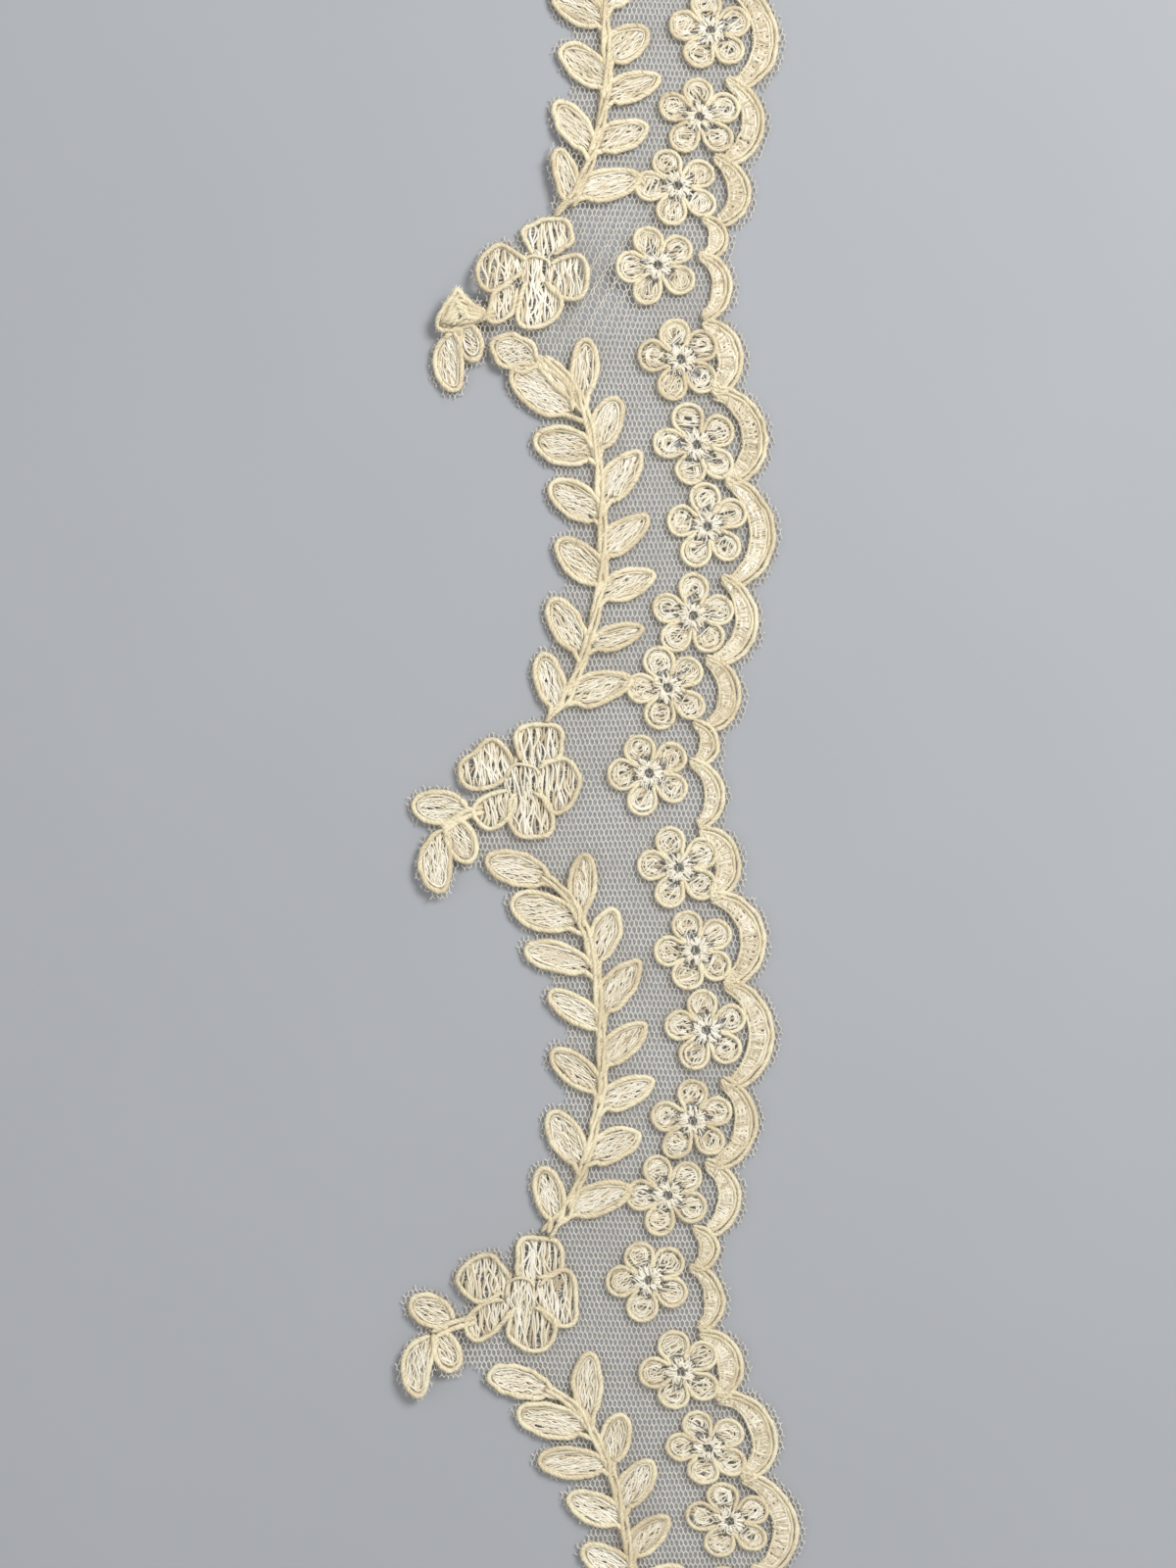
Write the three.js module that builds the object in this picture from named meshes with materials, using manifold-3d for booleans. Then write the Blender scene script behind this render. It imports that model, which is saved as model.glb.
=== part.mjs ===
// Corded lace edging, cut to length and lying face up on a table.
// A fine net ground carries raised embroidery: in each repeat a leafy vine that ends in a flower
// spray, a row of small five-petal flowers, and a scalloped edge. Every motif is a stitched
// filling inside a couched cord, so each solid is a low pad with a raised rim.
// Millimetres. X runs across the edging towards the scallops, Y along it, Z up from the table.

import * as THREE from "three";
import { mergeVertices } from "three/addons/utils/BufferGeometryUtils.js";
import Module from "manifold-3d";

const wasm = await Module();
wasm.setup();

// Driving dimensions
const cutLength = 300; // straight scissor cuts at both ends
const repeatPitch = 92; // one vine, one spray, six flowers, seven scallops
const repeatCount = 4; // the first and the last are cut short
const firstRepeatAt = -23.3; // where the first repeat begins, along from the top cut
const acrossShift = -2.195; // puts the middle of the whole width at X = 0
const netThickness = 1;
const netMargin = 1.1; // net left standing outside the outermost cord
const pieceGap = 0.4; // between the net and what is stitched onto it
const leastGap = 0.36; // where folded facets come closer than that
const flowerGap = 0.75; // round a small flower, measured from its middle
const cordWidth = 1.3; // couched cord that outlines every motif
const cordHeight = 1.1; // crest of the cord over the underside of its motif
const fillHeight = 0.65; // stitched filling inside the cord
const stemWidth = 2.4; // two cords laid side by side
const footSetBack = 0.03; // a leaf starts this share of its length off the stem's middle
const trimAt = 0.7; // the net is trimmed at this share of an outer leaf's length
const farUp = 40; // reach of the cutting prisms past the solids
const netEdgeStep = 1.9; // between the points of the net's trimmed edge
const netEdgeReach = 0.9999; // keeps the end lines just inside the cuts

// How the strip lies, by distance from the top cut: sideways shift, slip along the length at the
// middle of the width, and the slope of that slip across the width where the strip bends
const lieRows = [
  { along: 0, across: 0.6, slip: 1.9, slope: 0.05 },
  { along: 12, across: 0.8, slip: 1.7, slope: 0.05 },
  { along: 28, across: 1.3, slip: 1.0, slope: 0.05 },
  { along: 41, across: 1.8, slip: 0.1, slope: 0.07 },
  { along: 56, across: 1.7, slip: -0.5, slope: 0.04 },
  { along: 71, across: 0.4, slip: -1.0, slope: 0.07 },
  { along: 88, across: 0.3, slip: -0.6, slope: 0.07 },
  { along: 104, across: 0.2, slip: -0.3, slope: 0.06 },
  { along: 132, across: 0, slip: -0.5, slope: 0.06 },
  { along: 148, across: 0.1, slip: -0.3, slope: 0.04 },
  { along: 166, across: 0, slip: 0, slope: 0 },
  { along: 240, across: 0, slip: 0, slope: 0 },
  { along: 257, across: 0.4, slip: 0.2, slope: -0.07 },
  { along: 271, across: 2.1, slip: -0.9, slope: -0.05 },
  { along: 283, across: 3.7, slip: -2.1, slope: -0.03 },
  { along: 304, across: 6.6, slip: -3.8, slope: -0.02 },
];
const slopeMiddle = 8; // u where the slope adds nothing
const slopeLimit = -10; // the sprays beyond this lie straight

// Where the cloth lifts off the table: soft humps, longer along their turned direction
const foldRows = [
  { u: 1.8, along: 59, turn: 56, reach: 8, spread: 4, height: 1.8 }, // pucker in the net
  { u: -25, along: 63, turn: 20, reach: 6, spread: 5, height: 2.4 }, // outer leaflet curls up
  { u: -6, along: 40, turn: 105, reach: 6, spread: 4, height: 1.4 }, // leaf stands half on edge
  { u: -13, along: 72, turn: 0, reach: 6, spread: 4.5, height: 1.2 }, // leaf pushed up
  { u: -29, along: 169, turn: 75, reach: 7, spread: 6, height: 1.0 }, // second spray's tip
  { u: -30, along: 258, turn: 75, reach: 7, spread: 6, height: 1.3 }, // third spray's tip
];
const foldFoot = 0.05; // the foot of each hump that is cut away

// One repeat of the pattern: u across from the vine, v along from the start of the repeat.
// A leaf runs from its foot on the stem to its tip, and its width includes the cord.
const outerLeafRows = [
  { foot: [-7.0, 6.6], tip: [-19.2, 3.4], width: 6.8 },
  { foot: [-2.0, 15.0], tip: [-15.1, 10.8], width: 7.9 },
  { foot: [0.9, 22.5], tip: [-13.1, 19.5], width: 7.3 },
  { foot: [2.1, 34.3], tip: [-8.4, 26.3], width: 7.1 },
  { foot: [2.3, 45.2], tip: [-8.4, 37.6], width: 7.1 },
  { foot: [-1.1, 58.6], tip: [-8.5, 47.8], width: 7.1 },
  { foot: [-5.4, 69.3], tip: [-10.7, 57.8], width: 7.0 },
];
const innerLeafRows = [
  { foot: [-1.1, 12.5], tip: [-0.5, 1.0], width: 5.6 },
  { foot: [1.6, 21.6], tip: [5.3, 10.9], width: 6.4 },
  { foot: [2.9, 30.4], tip: [9.8, 20.1], width: 7.1 },
  { foot: [2.9, 39.8], tip: [12.4, 31.7], width: 7.1 },
  { foot: [2.0, 48.5], tip: [12.5, 42.7], width: 7.1 },
  { foot: [0.4, 57.5], tip: [10.8, 52.4], width: 7.3 },
  { foot: [-2.3, 67.1], tip: [6.2, 62.9], width: 7.2 },
];
// Leaves that came out unlike the pattern: one turned on edge, one pushed up short, one plump
const oddLeafRows = [
  { repeat: 0, like: outerLeafRows[6], foot: [-3.9, 69.2], tip: [-6.9, 57.6], width: 4.4 },
  { repeat: 1, like: outerLeafRows[0], foot: [-7.0, 7.3], tip: [-17.0, 4.0], width: 6.2 },
  { repeat: 1, like: outerLeafRows[2], foot: [0.4, 22.2], tip: [-11.8, 19.8], width: 8.3 },
];
const stemRows = [
  { u: -8.6, v: 5.9 },
  { u: -5.4, v: 8.0 },
  { u: -2.7, v: 11.1 },
  { u: -1.1, v: 15.2 },
  { u: 0.8, v: 20.8 },
  { u: 2.1, v: 28.5 },
  { u: 2.7, v: 37.5 },
  { u: 2.6, v: 44.0 },
  { u: 1.4, v: 50.2 },
  { u: -0.6, v: 58.4 },
  { u: -2.5, v: 63.4 },
  { u: -4.3, v: 67.6 },
  { u: -5.4, v: 70.3 },
];

// The spray: five broad petals round a stitched middle, and three leaflets beyond them
const petalRows = [
  { u: -8.75, v: 75.0, long: 10.7, wide: 7.8, turn: 0 },
  { u: -4.1, v: 82.4, long: 10.4, wide: 7.0, turn: 84 },
  { u: -10.5, v: 88.6, long: 9.5, wide: 8.6, turn: 0 },
  { u: -17.9, v: 87.3, long: 9.8, wide: 6.6, turn: 146 },
  { u: -18.2, v: 78.6, long: 9.8, wide: 9.2, turn: 150 },
];
const sprayMiddle = { u: -11.4, v: 82.2, long: 8.6, wide: 7.4, turn: 10 };
const leafletRows = [
  { foot: [-20.7, 88.4], tip: [-32.9, 85.6], width: 6.9 },
  { foot: [-23.8, 88.6], tip: [-22.2, 97.6], width: 6.1 },
  { foot: [-25.2, 89.0], tip: [-28.7, 102.8], width: 6.9 },
];
// How each spray lies: the whole shifted and turned, its leaflets pushed further out of place, and
// how much of the outer leaflet shows where that one is crumpled
const sprayLies = [
  { u: 0.7, v: 0.6, turn: -5, pushU: 0, pushV: -1.2, crumple: 0.64 },
  { u: 0, v: 0, turn: 0, pushU: 0, pushV: 0, crumple: 1 },
  { u: 0, v: 0, turn: 0, pushU: -1.8, pushV: -1.6, crumple: 0.95 },
];
const footPush = 0.6; // share of a leaflet's push that its foot takes

// Small flowers on the scalloped side
const flowerRows = [
  { u: 16.1, v: 4.8, turn: 2 },
  { u: 19.3, v: 19.1, turn: 2 },
  { u: 20.9, v: 33.6, turn: 13 },
  { u: 18.6, v: 50.0, turn: 28 },
  { u: 14.5, v: 63.75, turn: -8 },
  { u: 11.1, v: 78.9, turn: -12 },
];
const flower = {
  petals: 5,
  petalOut: 5.2, // petal's middle from the flower's middle
  petalRadius: 2.65,
  notchRadius: 4.3,
  hubRadius: 2.0,
  eyeRadius: 0.9, // bare net in the middle
  stepsPerPetal: 4,
};

// Scallops: the outer edge is an arc through three points, and the band tapers to its ends
const scallopRows = [
  { from: [19.8, -3.6], bulge: [28.0, 4.2], to: [23.1, 11.1], width: 4.8 },
  { from: [21.9, 8.3], bulge: [32.5, 18.3], to: [25.3, 27.1], width: 4.8 },
  { from: [25.1, 24.1], bulge: [33.9, 35.3], to: [26.3, 45.7], width: 4.8 },
  { from: [24.7, 41.8], bulge: [30.9, 50.4], to: [22.9, 60.2], width: 4.6 },
  { from: [21.3, 56.8], bulge: [28.2, 64.6], to: [21.9, 71.8], width: 4.6 },
  { from: [19.1, 69.0], bulge: [23.8, 73.6], to: [19.7, 78.5], width: 3.9 },
  { from: [18.4, 76.2], bulge: [25.1, 83.2], to: [20.4, 90.2], width: 4.2 },
];
const scallopSteps = 5;
const scallopTaper = { least: 0.42, start: 0.1, run: 0.74 }; // blunt ends, fullest past the middle

// Outlines: how a leaf swells between its ends, and how square a broad petal is
const leafForm = { shares: [0.1, 0.44, 0.81], roundness: 0.62, fullness: 1.04, lean: 0.14 };
const petalForm = { steps: 9, squareness: 0.82 };
const stemSteps = 10;

// Materials, one for each sub-part
function clothMaterial(color, roughness) {
  return new THREE.MeshStandardMaterial({ color, roughness, metalness: 0 });
}
const netMaterial = () => clothMaterial(0xe3dccb, 0.7);
const vineMaterial = () => clothMaterial(0xefe4c2, 0.85);
const sprayMaterial = () => clothMaterial(0xefe4c4, 0.8);
const flowerMaterial = () => clothMaterial(0xf0e6c8, 0.8);
const scallopMaterial = () => clothMaterial(0xf1e7cd, 0.75);

// Where a row's share lies between two numbers
const between = (a, b, share) => a + (b - a) * share;
const betweenPoints = (a, b, share) => a.map((value, i) => between(value, b[i], share));

function lieAt(along) {
  const next = lieRows.findIndex((row) => row.along >= along);
  if (next === 0) return lieRows[0];
  if (next < 0) return lieRows[lieRows.length - 1];
  const [a, b] = [lieRows[next - 1], lieRows[next]];
  const share = (along - a.along) / (b.along - a.along);
  const part = (name) => between(a[name], b[name], share);
  return { across: part("across"), slip: part("slip"), slope: part("slope") };
}

// A point of the pattern on the table, from its place across and along the strip
function layAlong([u, along]) {
  const lie = lieAt(along);
  const slip = lie.slip + lie.slope * (Math.max(u, slopeLimit) - slopeMiddle);
  return [u + acrossShift + lie.across, cutLength / 2 - along - slip];
}
const alongOf = (repeat, v) => firstRepeatAt + repeat * repeatPitch + v;
const layIn = (repeat) => ([u, v]) => layAlong([u, alongOf(repeat, v)]);

// Height of the cloth's underside over the table, where it lies flat outside the folds
const folds = foldRows.map((row) => ({ ...row, at: layAlong([row.u, row.along]) }));
function liftAt(x, y) {
  const humps = folds.reduce((sum, { at, turn, reach, spread, height }) => {
    const angle = THREE.MathUtils.degToRad(turn);
    const [dx, dy] = [x - at[0], y - at[1]];
    const along = (dx * Math.cos(angle) + dy * Math.sin(angle)) / reach;
    const across = (dy * Math.cos(angle) - dx * Math.sin(angle)) / spread;
    return sum + height * Math.exp(-0.5 * (along * along + across * across));
  }, 0);
  return Math.max(0, humps - foldFoot);
}
const motifFoot = netThickness + pieceGap;
const raised = ([x, y], height) => [x, y, liftAt(x, y) + motifFoot + height];

// A closed solid from its points and triangles, turned to face outwards
function solidFrom(points, faces) {
  const corner = (i) => new THREE.Vector3(...points[i]);
  const volume = faces.reduce(
    (sum, [a, b, c]) => sum + corner(a).dot(corner(b).cross(corner(c))), 0);
  const turned = volume < 0 ? faces.map(([a, b, c]) => [a, c, b]) : faces;
  const geometry = new THREE.BufferGeometry();
  geometry.setAttribute("position", new THREE.Float32BufferAttribute(points.flat(), 3));
  geometry.setIndex(turned.flat());
  return solidOf(geometry);
}

function solidOf(geometry) {
  const bare = geometry.clone();
  bare.deleteAttribute("normal");
  bare.deleteAttribute("uv");
  const merged = mergeVertices(bare, 1e-4);
  return new wasm.Manifold(new wasm.Mesh({
    numProp: 3,
    vertProperties: new Float32Array(merged.attributes.position.array),
    triVerts: new Uint32Array(merged.index.array),
  }));
}

// Triangles between two rings of equal count, whose points start at index a and b
function bandFaces(a, b, count) {
  return Array.from({ length: count }, (_, i) => {
    const j = (i + 1) % count;
    return [[a + i, a + j, b + j], [a + i, b + j, b + i]];
  }).flat();
}

// A pad inside a raised rim: outer foot, crest of the cord, edge and middle of the filling
function rimmedPad(drawn) {
  const clockwise = THREE.ShapeUtils.isClockWise(drawn.map((p) => new THREE.Vector2(...p)));
  const outline = clockwise ? drawn.toReversed() : drawn;
  const count = outline.length;
  const middle = [0, 1].map((k) => outline.reduce((sum, p) => sum + p[k], 0) / count);
  const drawnIn = (inset) => outline.map((p) => {
    const out = Math.hypot(p[0] - middle[0], p[1] - middle[1]);
    return betweenPoints(middle, p, 1 - inset / out);
  });
  const points = [
    ...outline.map((p) => raised(p, 0)),
    ...drawnIn(cordWidth / 2).map((p) => raised(p, cordHeight)),
    ...drawnIn(cordWidth).map((p) => raised(p, fillHeight)),
    raised(middle, fillHeight),
  ];
  const faces = [
    ...bandFaces(0, count, count),
    ...bandFaces(count, 2 * count, count),
    ...outline.map((_, i) => [2 * count + i, 2 * count + ((i + 1) % count), 3 * count]),
    ...Array.from({ length: count - 2 }, (_, i) => [0, i + 2, i + 1]),
  ];
  return solidFrom(points, faces);
}

// Stations of a corded band: middle of the band, direction across it, and half its width
function cordedBand(stations) {
  const ring = ({ at, side, half }) => {
    const place = (share, height) => raised([at[0] + side[0] * share, at[1] + side[1] * share], height);
    const crest = half - Math.min(cordWidth / 2, half / 2);
    return [
      place(half, 0),
      place(crest, cordHeight),
      place(0, fillHeight),
      place(-crest, cordHeight),
      place(-half, 0),
    ];
  };
  const rings = stations.map(ring);
  const count = rings[0].length;
  const last = (rings.length - 1) * count;
  const faces = rings.slice(1).flatMap((_, k) => bandFaces(k * count, (k + 1) * count, count));
  for (let i = 1; i < count - 1; i++) {
    faces.push([0, i + 1, i], [last, last + i, last + i + 1]);
  }
  return solidFrom(rings.flat(), faces);
}

// An upright prism from that far below the table to as far above it
function tallPrism(outline, height) {
  const shape = new THREE.Shape(outline.map((p) => new THREE.Vector2(...p)));
  const geometry = new THREE.ExtrudeGeometry(shape, { depth: 2 * height, bevelEnabled: false });
  return solidOf(geometry.translate(0, 0, -height));
}

const joined = (solids) => solids.reduce((a, b) => a.add(b));

// A leaf's outline, fuller towards its foot, with grow added all round
function leafOutline({ foot, tip, width }, grow = 0) {
  const length = Math.hypot(tip[0] - foot[0], tip[1] - foot[1]);
  const ahead = [(tip[0] - foot[0]) / length, (tip[1] - foot[1]) / length];
  const half = (share) => {
    const swell = Math.sin(Math.PI * share) ** leafForm.roundness;
    return (width / 2) * swell * (leafForm.fullness + leafForm.lean * Math.cos(Math.PI * share)) + grow;
  };
  const at = (share, side) => {
    const run = share * length + grow * (2 * share - 1);
    const off = side * half(share);
    return [foot[0] + ahead[0] * run - ahead[1] * off, foot[1] + ahead[1] * run + ahead[0] * off];
  };
  const end = (share) => betweenPoints(foot, tip, share + (grow / length) * (2 * share - 1));
  return [
    end(0),
    ...leafForm.shares.map((share) => at(share, 1)),
    end(1),
    ...leafForm.shares.toReversed().map((share) => at(share, -1)),
  ];
}

// A broad petal's outline: a rounded, slightly squared oval
function petalOutline({ u, v, long, wide, turn }, grow = 0) {
  const angle = THREE.MathUtils.degToRad(turn);
  const squared = (value) => Math.sign(value) * Math.abs(value) ** petalForm.squareness;
  return Array.from({ length: petalForm.steps }, (_, i) => {
    const round = (2 * Math.PI * i) / petalForm.steps;
    const a = (long / 2 + grow) * squared(Math.cos(round));
    const b = (wide / 2 + grow) * squared(Math.sin(round));
    return [u + a * Math.cos(angle) - b * Math.sin(angle), v + a * Math.sin(angle) + b * Math.cos(angle)];
  });
}

// Spokes of a small flower: the angle of each, and how far the petals reach along it
const flowerSpokes = Array.from({ length: flower.petals * flower.stepsPerPetal }, (_, i) => {
  const step = i % flower.stepsPerPetal;
  const petal = (2 * Math.PI) / flower.petals;
  const off = petal * (step / flower.stepsPerPetal - 0.5);
  const angle = Math.PI + petal * Math.floor(i / flower.stepsPerPetal) + off;
  const aside = flower.petalOut * Math.sin(off);
  const beyond = Math.sqrt(Math.max(0, flower.petalRadius ** 2 - aside ** 2));
  const notch = step === 0;
  return { angle, notch, reach: notch ? flower.notchRadius : flower.petalOut * Math.cos(off) + beyond };
});

function flowerRing({ u, v, turn }, radiusOf) {
  return flowerSpokes.map((spoke) => {
    const angle = spoke.angle + THREE.MathUtils.degToRad(turn);
    const radius = radiusOf(spoke);
    return [u + radius * Math.cos(angle), v + radius * Math.sin(angle)];
  });
}

function flowerSolid(row, lay) {
  const inset = (spoke, cords) => spoke.reach - (spoke.notch ? cords / 2 : cords) * cordWidth;
  const ring = (radiusOf, heightOf) =>
    flowerRing(row, radiusOf).map((p, i) => raised(lay(p), heightOf(flowerSpokes[i])));
  const rings = [
    ring((spoke) => spoke.reach, () => 0),
    ring((spoke) => inset(spoke, 0.5), () => cordHeight),
    ring((spoke) => inset(spoke, 1), (spoke) => (spoke.notch ? cordHeight : fillHeight)),
    ring(() => flower.hubRadius, (spoke) => (spoke.notch ? cordHeight : fillHeight)),
    ring(() => flower.eyeRadius, () => 0),
  ];
  const count = flowerSpokes.length;
  const faces = rings.flatMap((_, k) => bandFaces(k * count, ((k + 1) % rings.length) * count, count));
  return solidFrom(rings.flat(), faces);
}
const flowerOutline = (row, grow) => flowerRing(row, (spoke) => spoke.reach + grow);

// Points of the arc through three points, with the direction from its middle
function arcStations({ from, bulge, to }) {
  const [a, b, c] = [from, bulge, to].map((p) => new THREE.Vector2(...p));
  const cross = 2 * (a.x * (b.y - c.y) + b.x * (c.y - a.y) + c.x * (a.y - b.y));
  const [aa, bb, cc] = [a, b, c].map((p) => p.lengthSq());
  const middle = new THREE.Vector2(
    (aa * (b.y - c.y) + bb * (c.y - a.y) + cc * (a.y - b.y)) / cross,
    (aa * (c.x - b.x) + bb * (a.x - c.x) + cc * (b.x - a.x)) / cross);
  const radius = a.distanceTo(middle);
  const angleOf = (p) => Math.atan2(p.y - middle.y, p.x - middle.x);
  const [start, end] = [angleOf(a), angleOf(c)];
  return Array.from({ length: scallopSteps + 1 }, (_, i) => {
    const share = i / scallopSteps;
    const angle = between(start, end, share);
    const out = [Math.cos(angle), Math.sin(angle)];
    return { share, out, edge: [middle.x + radius * out[0], middle.y + radius * out[1]] };
  });
}

// Width of a scallop's band at a share of its arc
function scallopWidth(row, share) {
  const { least, start, run } = scallopTaper;
  return row.width * (least + (1 - least) * Math.sin(Math.PI * (start + run * share)));
}

// Stations of a scallop's band as it lies, inwards from its outer edge
function scallopStations(row, lay) {
  return arcStations(row).map(({ share, out, edge }) => {
    const half = scallopWidth(row, share) / 2;
    const at = lay([edge[0] - out[0] * half, edge[1] - out[1] * half]);
    const rim = lay(edge);
    const away = Math.hypot(rim[0] - at[0], rim[1] - at[1]);
    return { at, side: [(rim[0] - at[0]) / away, (rim[1] - at[1]) / away], half };
  });
}

// The net outside a scallop: from the middle of its band to the margin beyond its cord
function scallopOutline(row, grow) {
  const stations = arcStations(row);
  const moved = ({ out, edge }, off) => [edge[0] + out[0] * off, edge[1] + out[1] * off];
  return [
    ...stations.map((station) => moved(station, grow)),
    ...stations.toReversed().map((station) => moved(station, -scallopWidth(row, station.share) / 2)),
  ];
}

// Stations of a stem as it lies
function stemStations(lay) {
  const curve = new THREE.SplineCurve(stemRows.map(({ u, v }) => new THREE.Vector2(...lay([u, v]))));
  return Array.from({ length: stemSteps + 1 }, (_, i) => {
    const at = curve.getPoint(i / stemSteps);
    const ahead = curve.getTangent(i / stemSteps);
    return { at: [at.x, at.y], side: [-ahead.y, ahead.x], half: stemWidth / 2 };
  });
}

// What belongs to the cut length: motifs whose middle lies between the two cuts
const repeats = Array.from({ length: repeatCount }, (_, k) => k);
const kept = (repeat, point) => Math.abs(layIn(repeat)(point)[1]) < cutLength / 2;
const middleOfLeaf = ({ foot, tip }) => betweenPoints(foot, tip, 0.5);
const leavesOf = (rows, repeat) => rows
  .map((row) => oddLeafRows.find((odd) => odd.repeat === repeat && odd.like === row) ?? row)
  .filter((row) => kept(repeat, middleOfLeaf(row)));
const flowersOf = (repeat) => flowerRows.filter((row) => kept(repeat, [row.u, row.v]));
const scallopsOf = (repeat) => scallopRows.filter((row) => kept(repeat, row.bulge));
const sprayRepeats = repeats.filter((repeat) => kept(repeat, [sprayMiddle.u, sprayMiddle.v]));

// One spray's middle, petals and leaflets as they lie
function sprayRows(repeat) {
  const lie = sprayLies[repeat];
  const turned = ([u, v]) => {
    const hub = new THREE.Vector2(sprayMiddle.u, sprayMiddle.v);
    const point = new THREE.Vector2(u, v).rotateAround(hub, THREE.MathUtils.degToRad(lie.turn));
    return [point.x + lie.u, point.y + lie.v];
  };
  const petals = [sprayMiddle, ...petalRows].map((row) => {
    const [u, v] = turned([row.u, row.v]);
    return { ...row, u, v, turn: row.turn + lie.turn };
  });
  const leaflets = leafletRows.map(({ foot, tip, width }, i) => {
    const shown = i === 0 ? lie.crumple : 1;
    const [from, to] = [turned(foot), turned(betweenPoints(foot, tip, shown))];
    const push = (point, share) => [point[0] + lie.pushU * share, point[1] + lie.pushV * share];
    return { foot: push(from, footPush), tip: push(to, 1), width };
  });
  return { petals, leaflets };
}

// Blocks that cut: the length between the two scissor cuts, and room round a small flower
const wideCut = 200;
const cutBlock = tallPrism([[-1, -1], [1, -1], [1, 1], [-1, 1]].map(([x, y]) =>
  [x * wideCut, (y * cutLength) / 2]), farUp);
const flowerClearance = (repeat, row) =>
  tallPrism(flowerOutline(row, flowerGap).map(layIn(repeat)), farUp);

// A sheet over the whole box of the lace that follows its folds, with finer steps where they are
const slab = { low: -49, high: 49, across: 7, fine: 4.5, coarse: 24, nearFold: 2 };
function slabStations() {
  const nearFold = (along) =>
    foldRows.some((row) => Math.abs(row.along - along) < slab.nearFold * row.reach);
  const foldStarts = foldRows.map((row) => row.along - slab.nearFold * row.reach);
  const stations = [-1];
  while (stations.at(-1) < cutLength + 1) {
    const fineStep = stations.at(-1) + slab.fine;
    const coarseStep = stations.at(-1) + slab.coarse;
    const ahead = foldStarts.filter((start) => start > fineStep);
    stations.push(nearFold(fineStep) ? fineStep : Math.min(coarseStep, ...ahead));
  }
  return stations;
}

function netSlab(foot, top) {
  const columns = Math.round((slab.high - slab.low) / slab.across);
  const stations = slabStations().toReversed();
  const sheet = new THREE.BoxGeometry(1, 1, 1, columns, stations.length - 1, 1);
  const places = sheet.getAttribute("position");
  for (let i = 0; i < places.count; i++) {
    const row = Math.round((places.getY(i) + 0.5) * (stations.length - 1));
    const x = between(slab.low, slab.high, places.getX(i) + 0.5);
    const y = cutLength / 2 - stations[row];
    places.setXYZ(i, x, y, liftAt(x, y) + (places.getZ(i) > 0 ? top : foot));
  }
  return solidOf(sheet);
}

// What a motif must stay above: the net and the gap over it
const underNet = netSlab(-farUp, netThickness + leastGap);

// Vine of one repeat: a double-cord stem with leaves on both sides
function vineSolid(repeat) {
  const lay = layIn(repeat);
  const leaves = [...leavesOf(outerLeafRows, repeat), ...leavesOf(innerLeafRows, repeat)];
  const setBack = (row) => ({ ...row, foot: betweenPoints(row.foot, row.tip, footSetBack) });
  const pads = leaves.map((row) => rimmedPad(leafOutline(setBack(row)).map(lay)));
  return joined([cordedBand(stemStations(lay)), ...pads]).intersect(cutBlock).subtract(underNet);
}

// Flower spray at the foot of a vine
function spraySolid(repeat) {
  const lay = layIn(repeat);
  const { petals, leaflets } = sprayRows(repeat);
  const outlines = [
    ...petals.map((row) => petalOutline(row)),
    ...leaflets.map((row) => leafOutline(row)),
  ];
  return joined(outlines.map((outline) => rimmedPad(outline.map(lay)))).subtract(underNet);
}

// Small flowers, each kept clear of the one before it
function flowerSolids() {
  const places = repeats.flatMap((repeat) => flowersOf(repeat).map((row) => ({ repeat, row })));
  return places.map(({ repeat, row }, i) => {
    const solid = flowerSolid(row, layIn(repeat)).intersect(cutBlock).subtract(underNet);
    const before = places[i - 1];
    return before ? solid.subtract(flowerClearance(before.repeat, before.row)) : solid;
  });
}

// The scalloped edge: one chain of overlapping bands, cut back from the flowers
function scallopSolid() {
  const bands = repeats.flatMap((repeat) =>
    scallopsOf(repeat).map((row) => cordedBand(scallopStations(row, layIn(repeat)))));
  const clearances = repeats.flatMap((repeat) =>
    flowersOf(repeat).map((row) => flowerClearance(repeat, row)));
  const chain = joined(bands).intersect(cutBlock);
  return clearances.reduce((left, clearance) => left.subtract(clearance), chain);
}

// The net's trimmed outline. Its outer edge runs from leaf to leaf and round the sprays, and its
// inner edge round the scallops, both a margin outside the cord.
function netShapes() {
  const leafShare = ({ foot, tip }) => betweenPoints(foot, tip, trimAt);
  const trimmed = repeats.flatMap((repeat) => {
    const leaves = outerLeafRows.map(leafShare);
    if (!sprayRepeats.includes(repeat)) return leaves.map(layIn(repeat));
    const { petals, leaflets } = sprayRows(repeat);
    const round = [petals[1], petals[5]].map(({ u, v }) => [u, v]);
    const tips = leaflets.slice(1).toReversed().map(leafShare);
    return [...leaves, ...round, ...tips].map(layIn(repeat));
  });
  const edge = repeats.flatMap((repeat) =>
    scallopRows.map((row) => layIn(repeat)(betweenPoints(row.from, row.bulge, 0.5))));
  const noSpray = { petals: [], leaflets: [] };
  const grown = repeats.flatMap((repeat) => {
    const { petals, leaflets } = sprayRepeats.includes(repeat) ? sprayRows(repeat) : noSpray;
    const outlines = [
      ...[...leavesOf(outerLeafRows, repeat), ...leaflets].map((row) => leafOutline(row, netMargin)),
      ...petals.map((row) => petalOutline(row, netMargin)),
      ...scallopsOf(repeat).map((row) => scallopOutline(row, netMargin)),
    ];
    return outlines.map((outline) => outline.map(layIn(repeat)));
  });
  return [[...trimmed, ...edge.toReversed()], ...grown];
}

// Where the edges of the shapes cross a line across the strip
function crossingsAt(shapes, y) {
  return shapes.flatMap((shape) => shape.flatMap((a, i) => {
    const b = shape[(i + 1) % shape.length];
    const share = (y - a[1]) / (b[1] - a[1]);
    return share >= 0 && share < 1 ? [between(a[0], b[0], share)] : [];
  }));
}

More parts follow.
